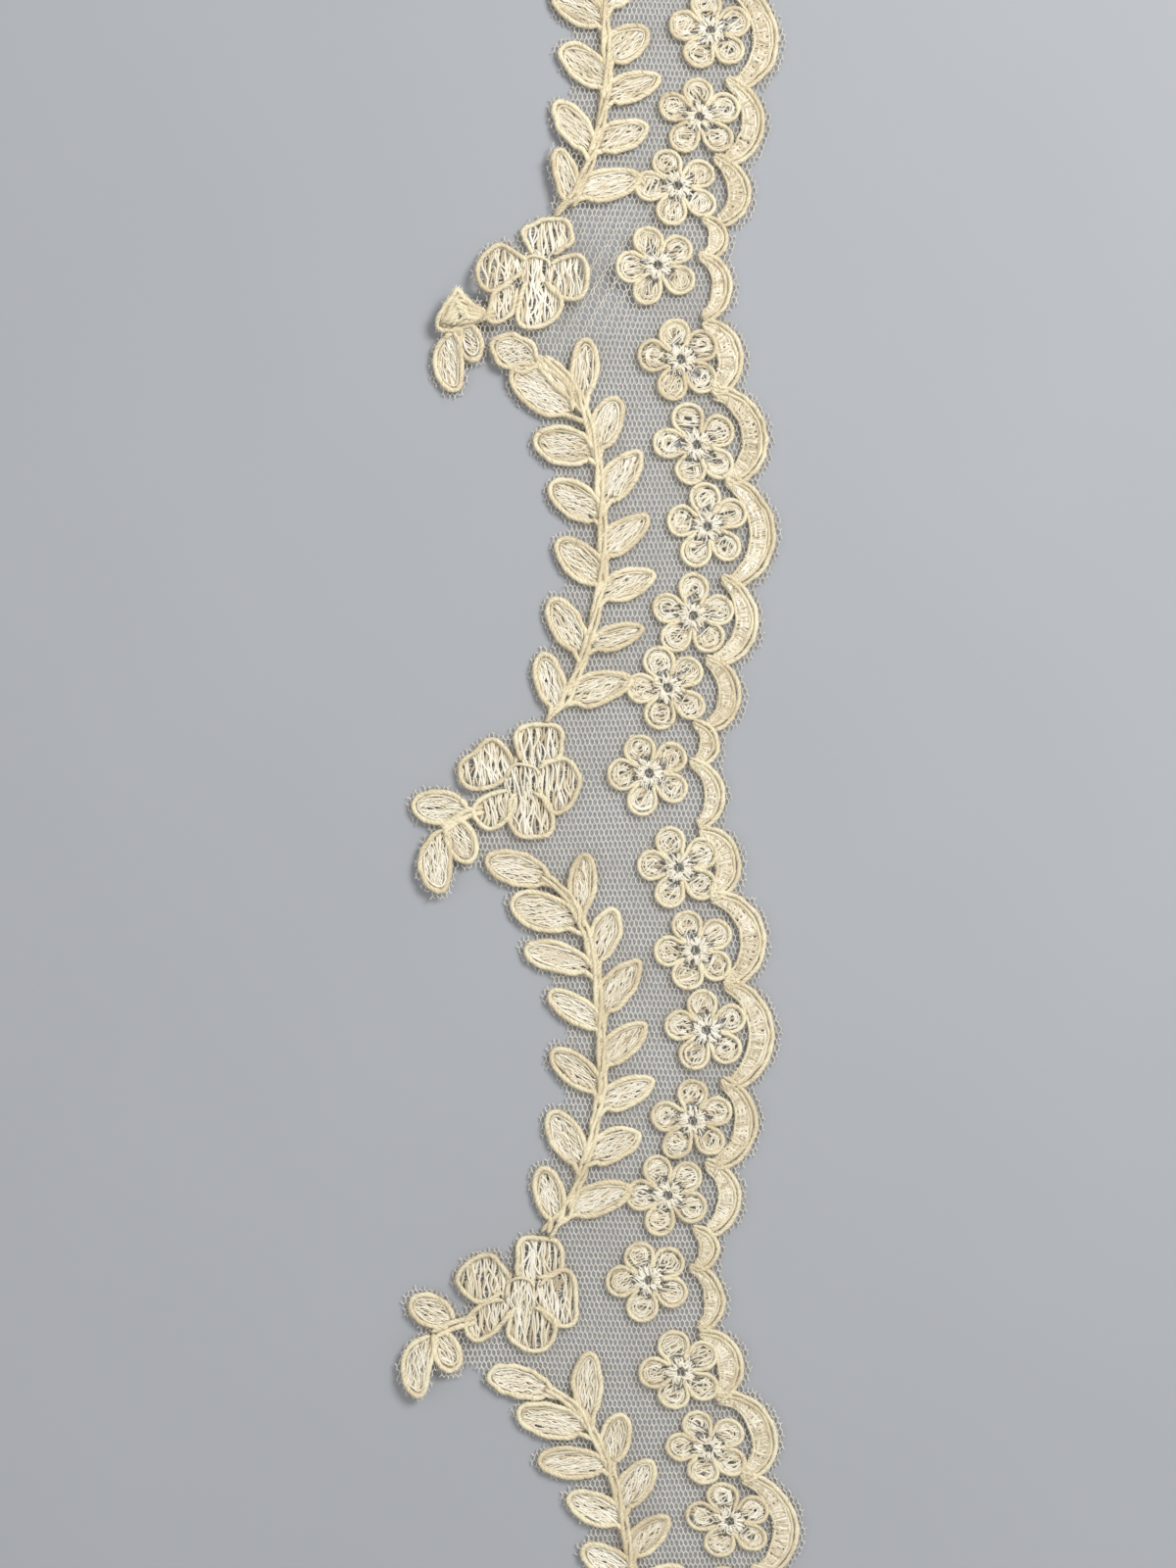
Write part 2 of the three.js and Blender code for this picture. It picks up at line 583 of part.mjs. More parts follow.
function netSolid() {
  const shapes = netShapes();
  const steps = Math.round(cutLength / netEdgeStep);
  const lines = Array.from({ length: steps + 1 }, (_, i) => {
    const y = cutLength * (0.5 - i / steps);
    const crossings = crossingsAt(shapes, y * netEdgeReach);
    return { y, outer: Math.min(...crossings), inner: Math.max(...crossings) };
  });
  const outline = [
    ...lines.map(({ y, outer }) => [outer, y]),
    ...lines.toReversed().map(({ y, inner }) => [inner, y]),
  ];
  return netSlab(0, netThickness).intersect(tallPrism(outline, farUp));
}

// The finished group
const edging = new THREE.Group();

function addPiece(name, solid, material) {
  const { numProp, vertProperties, triVerts } = solid.getMesh();
  const geometry = new THREE.BufferGeometry();
  const places = Array.from({ length: vertProperties.length / numProp }, (_, i) =>
    Array.from(vertProperties.slice(i * numProp, i * numProp + 3)));
  geometry.setAttribute("position", new THREE.Float32BufferAttribute(places.flat(), 3));
  geometry.setIndex(Array.from(triVerts));
  geometry.computeVertexNormals();
  const mesh = new THREE.Mesh(geometry, material);
  mesh.name = name;
  edging.add(mesh);
}

addPiece("net_ground", netSolid(), netMaterial());
repeats.forEach((repeat) => addPiece(`vine_${repeat + 1}`, vineSolid(repeat), vineMaterial()));
sprayRepeats.forEach((repeat) => addPiece(`spray_${repeat + 1}`, spraySolid(repeat), sprayMaterial()));
flowerSolids().forEach((solid, i) =>
  addPiece(`flower_${String(i + 1).padStart(2, "0")}`, solid, flowerMaterial()));
addPiece("scallop_edge", scallopSolid(), scallopMaterial());

export default edging;
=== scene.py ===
import math
from functools import partial

import bpy
import numpy as np
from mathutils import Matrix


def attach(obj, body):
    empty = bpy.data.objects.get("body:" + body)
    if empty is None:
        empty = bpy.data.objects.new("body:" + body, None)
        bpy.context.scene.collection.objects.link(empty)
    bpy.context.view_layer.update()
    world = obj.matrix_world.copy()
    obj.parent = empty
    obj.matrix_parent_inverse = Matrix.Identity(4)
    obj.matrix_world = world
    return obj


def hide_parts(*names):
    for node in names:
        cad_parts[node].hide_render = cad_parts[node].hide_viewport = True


# Ivory corded lace edging, lying face up. The pattern chart is in millimetres, the meshes in metres.
# A pair of numbers in a dictionary is a range, unless its comment says otherwise.
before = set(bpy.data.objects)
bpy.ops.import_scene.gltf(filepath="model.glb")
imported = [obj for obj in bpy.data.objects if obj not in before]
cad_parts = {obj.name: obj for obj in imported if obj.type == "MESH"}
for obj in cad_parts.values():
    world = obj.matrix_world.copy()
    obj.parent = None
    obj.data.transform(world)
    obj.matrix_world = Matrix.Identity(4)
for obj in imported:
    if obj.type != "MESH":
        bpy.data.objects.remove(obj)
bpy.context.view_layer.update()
mm = 0.001
rng = np.random.default_rng(2911)
print("frame loaded,", len(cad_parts), "solids")


def chart(columns, *rows):
    return np.array(list(rows), dtype=[(column, float) for column in columns.split()])


# The strip: u runs across it from the vine, v along it from the start of a repeat
strip = {
    "length": 300,  # between the two scissor cuts
    "pitch": 92,  # one repeat of the pattern
    "repeats": 4,
    "firstAt": -23.3,  # start of the first repeat, from the top cut
    "acrossShift": -2.195,  # puts the middle of the width at X = 0
    "slopeMiddle": 8,  # where a slope starts from, across the strip
    "slopeLimit": -10,  # and where it ends on the vine's side
    "foldFoot": 0.05,  # folds lower than this lie flat
}
cutAt = strip["length"] / 2  # both scissor cuts, from the middle
lieRows = chart(  # how the strip lies, from the top cut
    "along across slip slope",
    (0, 0.6, 1.9, 0.05),
    (12, 0.8, 1.7, 0.05),
    (28, 1.3, 1.0, 0.05),
    (41, 1.8, 0.1, 0.07),
    (56, 1.7, -0.5, 0.04),
    (71, 0.4, -1.0, 0.07),
    (88, 0.3, -0.6, 0.07),
    (104, 0.2, -0.3, 0.06),
    (132, 0, -0.5, 0.06),
    (148, 0.1, -0.3, 0.04),
    (166, 0, 0, 0),
    (240, 0, 0, 0),
    (257, 0.4, 0.2, -0.07),
    (271, 2.1, -0.9, -0.05),
    (283, 3.7, -2.1, -0.03),
    (304, 6.6, -3.8, -0.02),
)
foldRows = chart(
    "u along turn reach spread height",
    (1.8, 59, 56, 8, 4, 1.8),  # pucker in the net
    (-25, 63, 20, 6, 5, 2.4),  # outer leaflet curls up
    (-6, 40, 105, 6, 4, 1.4),  # leaf stands half on edge
    (-13, 72, 0, 6, 4.5, 1.2),  # leaf pushed up
    (-29, 169, 75, 7, 6, 1.0),  # second spray's tip
    (-30, 258, 75, 7, 6, 1.3),  # third spray's tip
)
leafColumns = "footU footV tipU tipV width"
outerLeafRows = chart(
    leafColumns,
    (-7, 6.5, -19, 3, 6.5),
    (-2, 14.5, -14.5, 10.5, 7.5),
    (1, 22, -12, 20.5, 7),
    (2.5, 33.5, -7.5, 28, 7),
    (3, 45.5, -6, 38, 7),
    (-1, 58.5, -7, 48.5, 6.5),
    (-5.5, 69, -8.5, 58.5, 6),
)
innerLeafRows = chart(
    leafColumns,
    (-1.5, 13, -0.5, 1.5, 5.5),
    (1, 22, 5, 11.5, 6),
    (2, 30.5, 9.5, 21, 6.5),
    (2, 40, 11, 32.5, 6),
    (2, 47.5, 12.5, 43, 6),
    (0, 57, 10, 52.5, 6.5),
    (-3.5, 66.5, 8.5, 62.5, 6.5),
)
oddLeafRows = {  # (repeat, leaf), outer leaves 0 to 6 and inner 7 to 13
    (0, 6): (-4.5, 69.5, -7, 58, 5),  # half on edge
    (0, 10): (2, 40, 10.5, 34, 7),
    (1, 0): (-9.5, 7.5, -18, 3, 7),  # the part beyond its fold
    (1, 1): (-3, 15, -14.5, 8, 8.5),  # under the crumpled one
    (1, 2): (1, 22, -10.5, 20.5, 7.5),
    (1, 12): (0.5, 57, 10.5, 53, 5),
    (2, 2): (0.5, 22.5, -12, 19, 6),
    (2, 3): (3, 33.5, -7.5, 27, 5.5),
    (2, 4): (2.5, 45, -7, 37.5, 6),
    (3, 7): (-1.5, 12.5, 0, -0.5, 6),
}
stemRows = chart(
    "u v",
    (-8.5, 6),
    (-5.5, 8),
    (-2.5, 11),
    (-1, 15),
    (1, 21),
    (2, 28.5),
    (2.5, 37.5),
    (2.5, 44),
    (1.5, 50),
    (-0.5, 58.5),
    (-2.5, 63.5),
    (-4, 67.5),
    (-6, 69.5),
    (-7.5, 71.5),
)
petalColumns = "u v long wide turn"
leafletColumns = leafColumns + " bend"


def sprayChart(petals, leaflets, stalk):
    petals, leaflets = chart(petalColumns, *petals), chart(leafletColumns, *leaflets)
    return {"petals": petals, "leaflets": leaflets, "stalk": stalk}


sprayRows = (  # the filled middle comes first among the petals
    sprayChart(
        petals=((-11, 81, 6, 5.5, 10), (-9, 75, 10.5, 7, -6), (-5, 82.5, 10, 8, 95),
                (-10, 88, 9.5, 9.5, 90), (-16.5, 88, 8.5, 5.5, 104), (-17.5, 81, 10.5, 8, 135)),
        leaflets=((-19.5, 90, -27.5, 90, 6, 0), (-23, 91.5, -20.5, 99, 5, 0),
                  (-25, 93.5, -24.5, 104.5, 6, 1)),
        stalk=((-17.5, 90), (-21, 91), (-25, 93.5))),
    sprayChart(
        petals=((-12, 81, 6, 6, 10), (-9, 75, 10.5, 7.5, 0), (-5.5, 82, 10, 8.5, 100),
                (-10.5, 87.5, 9.5, 8.5, 0), (-17, 86.5, 9, 6.5, 147), (-18.5, 79, 10.5, 8.5, 137)),
        leaflets=((-21.5, 87, -32.5, 85.5, 6.5, 0), (-25, 88, -21, 96, 6, 0),
                  (-26.5, 90, -27, 101.5, 6.5, 1)),
        stalk=((-19, 86.5), (-22.5, 87.5), (-26.5, 90))),
    sprayChart(
        petals=((-12, 81.5, 6, 6, 10), (-9, 75.5, 10.5, 8, 4), (-5.5, 82.5, 10, 8.5, 95),
                (-10.5, 87.5, 10, 8, 0), (-18.5, 86, 9, 6.5, 142), (-19, 79, 10, 8.5, 140)),
        leaflets=((-24.5, 86, -33, 83, 6, 0), (-27, 88, -24.5, 95, 5.5, 0), (-29, 88.5, -32, 99.5, 6, 1)),
        stalk=((-20.5, 86), (-24.5, 87), (-28.5, 88.5))),
)
flowerRows = chart(
    "u v turn",
    (16.5, 4.5, 2),
    (19.5, 19.5, 1),
    (21.5, 34, 9),
    (19, 50.5, 15),
    (14.5, 64, -3),
    (11, 79.5, -5),
)
scallopRows = chart(
    "fromU fromV bulgeU bulgeV toU toV width",
    (20, -3.5, 28, 4, 23, 11, 5),
    (22, 8.5, 32.5, 18.5, 25.5, 27, 5),
    (25, 24, 34, 35.5, 26.5, 45.5, 5),
    (24.5, 42, 31, 50.5, 23, 60, 4.5),
    (21.5, 57, 28, 64.5, 22, 72, 4.5),
    (19, 69, 24, 73.5, 19.5, 78.5, 4),
    (18.5, 76, 25, 83, 20.5, 90, 4),
)


def spot(row, name=""):
    # a point of a chart's row: its own, or the one of that name
    across, along = (name + "U", name + "V") if name else ("u", "v")
    return np.array([row[across], row[along]])


# Laying the chart on the table
def layAlong(u, along):
    names = ("across", "slip", "slope")
    across, slip, slope = (np.interp(along, lieRows["along"], lieRows[name]) for name in names)
    slip = slip + slope * (np.maximum(u, strip["slopeLimit"]) - strip["slopeMiddle"])
    return np.stack([u + strip["acrossShift"] + across, cutAt - along - slip], -1)


def layIn(repeat, points):
    points = np.asarray(points, float)
    return layAlong(points[..., 0], strip["firstAt"] + repeat * strip["pitch"] + points[..., 1])


def uncut(places):
    return np.abs(places[..., 1]) < cutAt


def kept(repeat, place):
    return uncut(layIn(repeat, place))


foldMiddles = layAlong(foldRows["u"], foldRows["along"])


def inFold(places, number):
    # the places along a fold and across it, from its middle
    turn = math.radians(foldRows["turn"][number])
    dx, dy = places[..., 0] - foldMiddles[number, 0], places[..., 1] - foldMiddles[number, 1]
    return dx * math.cos(turn) + dy * math.sin(turn), dy * math.cos(turn) - dx * math.sin(turn)


def liftAt(places):
    humps = np.zeros(places.shape[:-1])
    for number, row in enumerate(foldRows):
        along, across = inFold(places, number)
        humps += row["height"] * np.exp(-0.5 * ((along / row["reach"]) ** 2 + (across / row["spread"]) ** 2))
    return np.maximum(0, humps - strip["foldFoot"])


# Outlines of the motifs, and the same drawn in from the outside of their cord
leafForm = {
    "round": (0.5, 0.5),  # how fast it narrows to its foot and to its tip
    "pointed": (0.45, 0.65),
    "pointedFrom": 0.6,  # leaves that lie further across the strip than this are pointed
    "insets": (0.8, 1.2),  # share of the inset at its foot and at its tip
    "points": 15,
}
petalForm = {
    "squareness": 0.82,
    "waist": 0.34,  # how much it narrows towards the spray's middle
    "reach": 1.12,  # and how much longer it is there
    "uneven": 0.05,
    "unevenStarts": (3, 5),  # how the unevenness changes with the petal's place
    "points": 28,
}
scallopForm = {  # the width follows part of a half wave
    "ends": 0.42,  # its share that is left at the ends
    "from": 0.07,
    "run": 0.82,
}


def leftOf(ahead):
    return np.stack([-ahead[..., 1], ahead[..., 0]], -1)


def unit(vectors, least=0.0):
    return vectors / (np.linalg.norm(vectors, axis=-1, keepdims=True) + least)


def leafOutline(row, inset=0.0):
    foot, tip = spot(row, "foot"), spot(row, "tip")
    ahead = (tip - foot) / np.linalg.norm(tip - foot)
    footInset, tipInset = leafForm["insets"]
    foot, tip = foot + ahead * inset * footInset, tip - ahead * inset * tipInset
    atFoot, atTip = leafForm["pointed" if ahead[0] > leafForm["pointedFrom"] else "round"]
    share = (1 - np.cos(np.linspace(0, np.pi, leafForm["points"]))) / 2
    widest = atFoot / (atFoot + atTip)
    shape = share**atFoot * (1 - share) ** atTip / (widest**atFoot * (1 - widest) ** atTip)
    aside = leftOf(ahead)
    side = np.outer((row["width"] / 2 - inset) * shape, aside)
    middle = foot + np.outer(share, tip - foot)
    if "bend" in row.dtype.names:
        middle += np.outer(4 * row["bend"] * share * (1 - share), aside)
    return np.concatenate([middle + side, (middle - side)[-2:0:-1]])


def petalOutline(row, hub=None):
    turn = math.radians(row["turn"])
    around = np.linspace(0, 2 * np.pi, petalForm["points"], endpoint=False)
    squared = lambda wave: np.sign(wave) * np.abs(wave) ** petalForm["squareness"]
    starts = petalForm["unevenStarts"] * spot(row)
    lobes = np.sin(2 * around + starts[0]) + np.sin(3 * around + starts[1])
    a = row["long"] / 2 * squared(np.cos(around)) * (1 + petalForm["uneven"] * lobes)
    b = row["wide"] / 2 * squared(np.sin(around)) * (1 + petalForm["uneven"] * lobes)
    points = np.stack([a * math.cos(turn) - b * math.sin(turn), a * math.sin(turn) + b * math.cos(turn)], -1)
    middle = spot(row)
    if hub is not None:
        inward = (hub - middle) / np.linalg.norm(hub - middle)
        side = leftOf(inward)
        depth = points @ inward
        narrowed = 1 - petalForm["waist"] * np.clip(depth / depth.max(), 0, 1)
        depth = np.where(depth > 0, depth * petalForm["reach"], depth)
        points = np.outer(depth, inward) + np.outer(points @ side * narrowed, side)
    return middle + points


def drawnIn(outline, inset):
    # an outline moved inwards by the inset, or outwards by a negative one
    ahead = unit(np.roll(outline, -1, axis=0) - np.roll(outline, 1, axis=0))
    x, y = outline.T
    way = np.sign(np.sum(x * np.roll(y, -1) - np.roll(x, -1) * y))
    return outline + leftOf(ahead) * way * inset


def scallopArc(row, shares):
    # points on the round edge of a scallop, and the way out from them
    corners = np.array([spot(row, name) for name in ("from", "bulge", "to")])
    squares = (corners**2).sum(1)
    middle = np.linalg.solve(2 * (corners[1:] - corners[0]), squares[1:] - squares[0])
    start, end = (math.atan2(*(corner - middle)[::-1]) for corner in corners[[0, 2]])
    angle = start + (end - start) * shares
    out = np.stack([np.cos(angle), np.sin(angle)], -1)
    return middle + out * np.linalg.norm(corners[0] - middle), out


def scallopWidth(row, shares):
    wave = np.sin(np.pi * np.clip(scallopForm["from"] + scallopForm["run"] * shares, 0, 1))
    return row["width"] * (scallopForm["ends"] + (1 - scallopForm["ends"]) * wave)


def hasSpray(repeat):
    return repeat < len(sprayRows) and kept(repeat, spot(sprayRows[repeat]["petals"][0]))


def leavesOf(repeat):
    rows = []
    for number, row in enumerate(np.concatenate([outerLeafRows, innerLeafRows])):
        if (repeat, number) in oddLeafRows:
            row = chart(leafColumns, oddLeafRows[repeat, number])[0]
        if kept(repeat, (spot(row, "foot") + spot(row, "tip")) / 2):
            rows.append(row)
    return rows


# Lines: smooth curves through a few points, evenly stepped, that waver a little
lineForm = {
    "fewest": 4,  # points of a line
    "waves": 4, "waveLengths": (3, 12), "waveSize": 0.6,
    "pickFrom": (0.2, 0.8),  # where in its step a place is picked
    "tiny": 1e-9,  # keeps a division from failing
}


def curveThrough(points, closed=False, perSpan=8):
    points = np.asarray(points, float)
    if closed:
        run = np.concatenate([points[-1:], points, points[:2]])
    else:
        run = np.concatenate([2 * points[:1] - points[1:2], points, 2 * points[-1:] - points[-2:-1]])
    t = np.linspace(0, 1, perSpan, endpoint=False)[:, None]
    spans = []
    for a, b, c, d in zip(run, run[1:], run[2:], run[3:]):
        spans.append(b + 0.5 * t * (c - a + t * (2 * a - 5 * b + 4 * c - d + t * (3 * (b - c) + d - a))))
    return np.concatenate(spans + [run[-2:-1]])


def runAlong(points):
    return np.concatenate([[0], np.cumsum(np.linalg.norm(np.diff(points, axis=0), axis=1))])


def evenly(points, step):
    run = runAlong(points)
    at = np.linspace(0, run[-1], max(lineForm["fewest"], round(run[-1] / step) + 1))
    return pointsAt(at, run, points)


def pointsAt(at, run, points):
    return np.stack([np.interp(at, run, column) for column in points.T], -1)


def sidesOf(points):
    return leftOf(unit(np.gradient(points, axis=0), lineForm["tiny"]))


def turns(run, length):
    # the angle along a run that turns once in each length, from anywhere
    return 2 * np.pi * (run / length + rng.random())


def wander(points, amount):
    run = runAlong(points)
    sway = np.zeros(len(points))
    for length in rng.uniform(*lineForm["waveLengths"], lineForm["waves"]):
        sway += rng.normal(0, lineForm["waveSize"]) * np.sin(turns(run, length))
    return points + sidesOf(points) * (amount * sway)[:, None]


def betweenCuts(points):
    inside = uncut(points)
    edges = np.flatnonzero(np.diff(inside.astype(int))) + 1
    runs = np.split(np.arange(len(points)), edges)
    return [points[run] for run in runs if inside[run[0]] and len(run) >= lineForm["fewest"]]


# Sections of the threads, each modelled once as a ring; a plied one is shaped in edit mode
def threadSection(sides, plies=0, valley=1.0):
    bpy.ops.object.select_all(action="DESELECT")
    bpy.ops.mesh.primitive_circle_add(vertices=sides, radius=1)
    ring = bpy.context.object
    if plies:
        for number, corner in enumerate(ring.data.vertices):
            corner.select = number % (sides // plies) != 0
        bpy.ops.object.mode_set(mode="EDIT")
        bpy.ops.transform.resize(value=(valley, valley, 1), center_override=(0, 0, 0))
        bpy.ops.object.mode_set(mode="OBJECT")
    points = np.array([corner.co[:2] for corner in ring.data.vertices])
    bpy.data.objects.remove(ring)
    return points[np.argsort(np.arctan2(points[:, 1], points[:, 0]))]


sections = {
    "cord": threadSection(sides=6, plies=3, valley=0.87),
    "thin": threadSection(sides=5),
    "floss": threadSection(sides=3),
}
print("thread sections modelled")


def sweep(lines, wide, high, section, spin=0, rough=0, capped=True, smooth=False, tone=(0, 1)):
    # lines holds strands of equally many points; wide and high are half sizes of the section there;
    # tone is the range of the tint that each strand draws from
    lines = np.asarray(lines, float)
    count, steps = lines.shape[:2]
    sides = len(section)
    ahead = unit(np.gradient(lines, axis=1), lineForm["tiny"])
    aside = np.stack([-ahead[..., 1], ahead[..., 0], np.zeros((count, steps))], -1)
    aside = unit(aside, lineForm["tiny"])
    above = np.cross(ahead, aside)
    spin, wide, high = (np.broadcast_to(value, (count, steps))[..., None] for value in (spin, wide, high))
    across = (section[:, 0] * np.cos(spin) - section[:, 1] * np.sin(spin)) * wide
    upward = (section[:, 0] * np.sin(spin) + section[:, 1] * np.cos(spin)) * high
    out = across[..., None] * aside[:, :, None] + upward[..., None] * above[:, :, None]
    corners = lines[:, :, None] + out * (1 + rough * rng.normal(0, 1, out.shape[:3] + (1,)))
    index = np.arange(count * steps * sides).reshape(count, steps, sides)
    after = np.roll(index, -1, axis=2)
    quads = np.stack([index[:, :-1], after[:, :-1], after[:, 1:], index[:, 1:]], -1)
    run = np.cumsum(np.linalg.norm(np.diff(lines, axis=1), axis=2), axis=1)
    run = np.concatenate([np.zeros((count, 1)), run], 1)
    around = np.arange(sides) / sides
    u = around + np.array([0, 1, 1, 0])[:, None] / sides
    v = np.stack([run[:, :-1], run[:, :-1], run[:, 1:], run[:, 1:]], -1)
    maps = np.empty(quads.shape + (2,))
    maps[..., 0] = u.T[None, None]
    maps[..., 1] = v[:, :, None]
    caps = np.concatenate([index[:, 0, ::-1], index[:, -1]]) if capped else np.empty((0, sides), int)
    return {
        "corners": corners.reshape(-1, 3),
        "quads": quads.reshape(-1, 4),
        "maps": maps.reshape(-1, 2),
        "cells": np.repeat(np.arange(count * (steps - 1)), sides),
        "caps": caps,
        "tones": np.repeat(rng.uniform(*tone, count), steps * sides),
        "smooth": np.full(count * (steps - 1) * sides, smooth),
    }


bakePatch = (0.1, 0.8)  # where a step's patch starts in its cell of the second map, and its size


def joinThreads(name, parts, material):
    together = lambda key: np.concatenate([part[key] for part in parts])
    offsets = np.cumsum([0] + [len(part["corners"]) for part in parts])
    cellOffsets = np.cumsum([0] + [part["cells"][-1] + 1 for part in parts])
    quads = np.concatenate([part["quads"] + offset for part, offset in zip(parts, offsets)])
    caps = [part["caps"] + offset for part, offset in zip(parts, offsets) if len(part["caps"])]
    totals = np.concatenate([np.full(len(quads), 4)] + [np.full(len(cap), cap.shape[1]) for cap in caps])
    loops = np.concatenate([quads.ravel()] + [cap.ravel() for cap in caps])
    mesh = bpy.data.meshes.new(name)
    mesh.vertices.add(offsets[-1])
    mesh.vertices.foreach_set("co", together("corners").ravel() * mm)
    mesh.loops.add(len(loops))
    mesh.loops.foreach_set("vertex_index", loops.astype(np.int32))
    mesh.polygons.add(len(totals))
    mesh.polygons.foreach_set("loop_start", np.concatenate([[0], np.cumsum(totals)[:-1]]).astype(np.int32))
    smooth = np.zeros(len(totals), bool)
    smooth[: len(quads)] = together("smooth")
    mesh.polygons.foreach_set("use_smooth", smooth)
    # the thread map follows each strand; the second map gives each step of a strand its own patch
    threadMap = np.zeros((len(loops), 2))
    threadMap[: quads.size] = together("maps")
    mesh.uv_layers.new(name="thread").data.foreach_set("uv", threadMap.ravel())
    cells = np.concatenate([part["cells"] + offset for part, offset in zip(parts, cellOffsets)])
    across = math.ceil(math.sqrt(cells[-1] + 1))
    corner = np.tile([[0, 0], [0, 1], [1, 1], [1, 0]], (len(quads), 1))
    patch = np.full((len(loops), 2), 0.5 / across)
    low, size = bakePatch
    around = threadMap[: quads.size, 0]
    patch[: quads.size, 0] = (np.repeat(cells % across, 4) + low + size * corner[:, 0]) / across
    patch[: quads.size, 1] = (np.repeat(cells // across, 4) + low + size * around) / across
    mesh.uv_layers.new(name="OFBake").data.foreach_set("uv", patch.ravel())
    tones = mesh.attributes.new("tone", "FLOAT", "POINT")
    tones.data.foreach_set("value", together("tones").astype(np.float32))
    mesh.update(calc_edges=True)
    mesh.materials.append(material)
    piece = bpy.data.objects.new(name, mesh)
    bpy.context.scene.collection.objects.link(piece)
    return piece


# Threads: a soft twisted cord held down by small stitches, with a fuzz of loose fibres
cord = {
    "step": 0.45,
    "halfWide": 0.56,
    "halfHigh": 0.48,
    "twist": 2.8,  # length of one turn of its plies
    "rough": 0.06,
    "foot": 0.72,  # underside over the table
    "wander": 0.08,
    "riseRun": 1.5,  # how far a risen end takes to come down
    "lift": 0.04,  # it lies in low waves
    "liftWave": 5.3,
    "swell": 0.06,  # and is uneven in thickness
    "swellWave": 2.9,
}
thinCord = {  # taper is the size of its ends and how far they take to swell
    "step": 0.6, "halfWide": 0.32, "halfHigh": 0.3, "twist": 2.0, "wander": 0.12, "lift": 0.08,
    "liftWave": 3.7, "taper": (0.5, 0.9)}
hold = {  # the small stitches across a cord, round part of a half turn
    "step": 6.0, "half": 0.06, "flat": 0.7, "over": 0.02, "around": (0.06, 0.94), "points": 4,
    "lean": (0.25, 0.5)}
fuzz = {  # loose fibres, thinner at their ends; lengths gives the shape and scale of a gamma draw
    "step": 0.24, "halves": (0.033, 0.009), "lengths": (2.0, 0.2), "longest": 0.9, "lean": 1.2,
    "from": 0.8, "curl": (-0.2, 0.3), "heights": (-0.3, 0.6)}


def addCord(parts, path, halfWide=None, height=0.0, rise=0.0, loose=1.0, taper=(0.62, 0.9)):
    # height lifts the cord, as a whole or point by point; rise lifts its ends over what they cross;
    # taper is the size of its ends and how far they take to swell
    halfWide = halfWide or cord["halfWide"]
    halfHigh = cord["halfHigh"] * halfWide / cord["halfWide"]
    steps = evenly(np.column_stack([path, np.broadcast_to(height, len(path))]), cord["step"])
    steps[:, :2] = wander(steps[:, :2], cord["wander"] * loose)
    for run in betweenCuts(steps):
        far = runAlong(run[:, :2])
        ends = np.minimum(far, far[-1] - far)
        z = cord["foot"] + halfHigh + run[:, 2] + liftAt(run[:, :2])
        z = z + rise * np.exp(-((ends / cord["riseRun"]) ** 2))
        z = z + cord["lift"] * np.sin(turns(far, cord["liftWave"]))
        line = np.column_stack([run[:, :2], z])
        thick = 1 + cord["swell"] * np.sin(turns(far, cord["swellWave"]))
        thick = thick * np.clip(taper[0] + (1 - taper[0]) * ends / taper[1], 0, 1)
        turn = turns(far, cord["twist"])
        wide, high = halfWide * thick, halfHigh * thick
        parts.append(sweep([line], [wide], [high], sections["cord"], [turn], cord["rough"], smooth=True))
        addHolds(parts, line, halfWide, halfHigh)
        addFibres(parts, line, halfWide, halfHigh)


def addThinCord(parts, path, height=0.0, size=1.0):
    endSize, endRun = thinCord["taper"]
    for run in betweenCuts(wander(evenly(path, thinCord["step"]), thinCord["wander"])):
        far = runAlong(run)
        z = cord["foot"] + thinCord["halfHigh"] + height + liftAt(run)
        z = z + thinCord["lift"] * np.sin(turns(far, thinCord["liftWave"]))
        thick = size * np.clip(endSize + np.minimum(far, far[-1] - far) / endRun, 0, 1)
        turn = turns(far, thinCord["twist"])
        wide, high = thinCord["halfWide"] * thick, thinCord["halfHigh"] * thick
        line = np.column_stack([run, z])
        parts.append(sweep([line], [wide], [high], sections["thin"], [turn], cord["rough"], smooth=True))


def pickPlaces(line, step):
    # places about one step apart, not quite evenly, and the ways aside and ahead there
    run = runAlong(line)
    count = max(1, int(run[-1] / step))
    at = (np.arange(count) + rng.uniform(*lineForm["pickFrom"], count)) * run[-1] / count
    aside = unit(pointsAt(at, run, sidesOf(line[:, :2])))
    return pointsAt(at, run, line), aside, -leftOf(aside)


def strandsAt(places, aside, ahead, across, along, above):
    lines = np.empty(along.shape + (3,))
    lines[..., :2] = places[:, None, :2] + aside[:, None] * across[..., None]
    lines[..., :2] += ahead[:, None] * along[..., None]
    lines[..., 2] = places[:, None, 2] + above
    return lines


def addHolds(parts, line, halfWide, halfHigh):
    places, aside, ahead = pickPlaces(line, hold["step"])
    around = np.linspace(*hold["around"], hold["points"]) * np.pi
    across = np.cos(around) * (halfWide + hold["over"])
    above = np.sin(around) * (halfHigh + hold["over"])
    lean = np.linspace(-1, 1, hold["points"]) * rng.uniform(*hold["lean"], (len(places), 1))
    lines = strandsAt(places, aside, ahead, across, lean, above)
    parts.append(sweep(lines, hold["half"], hold["half"] * hold["flat"], sections["floss"]))


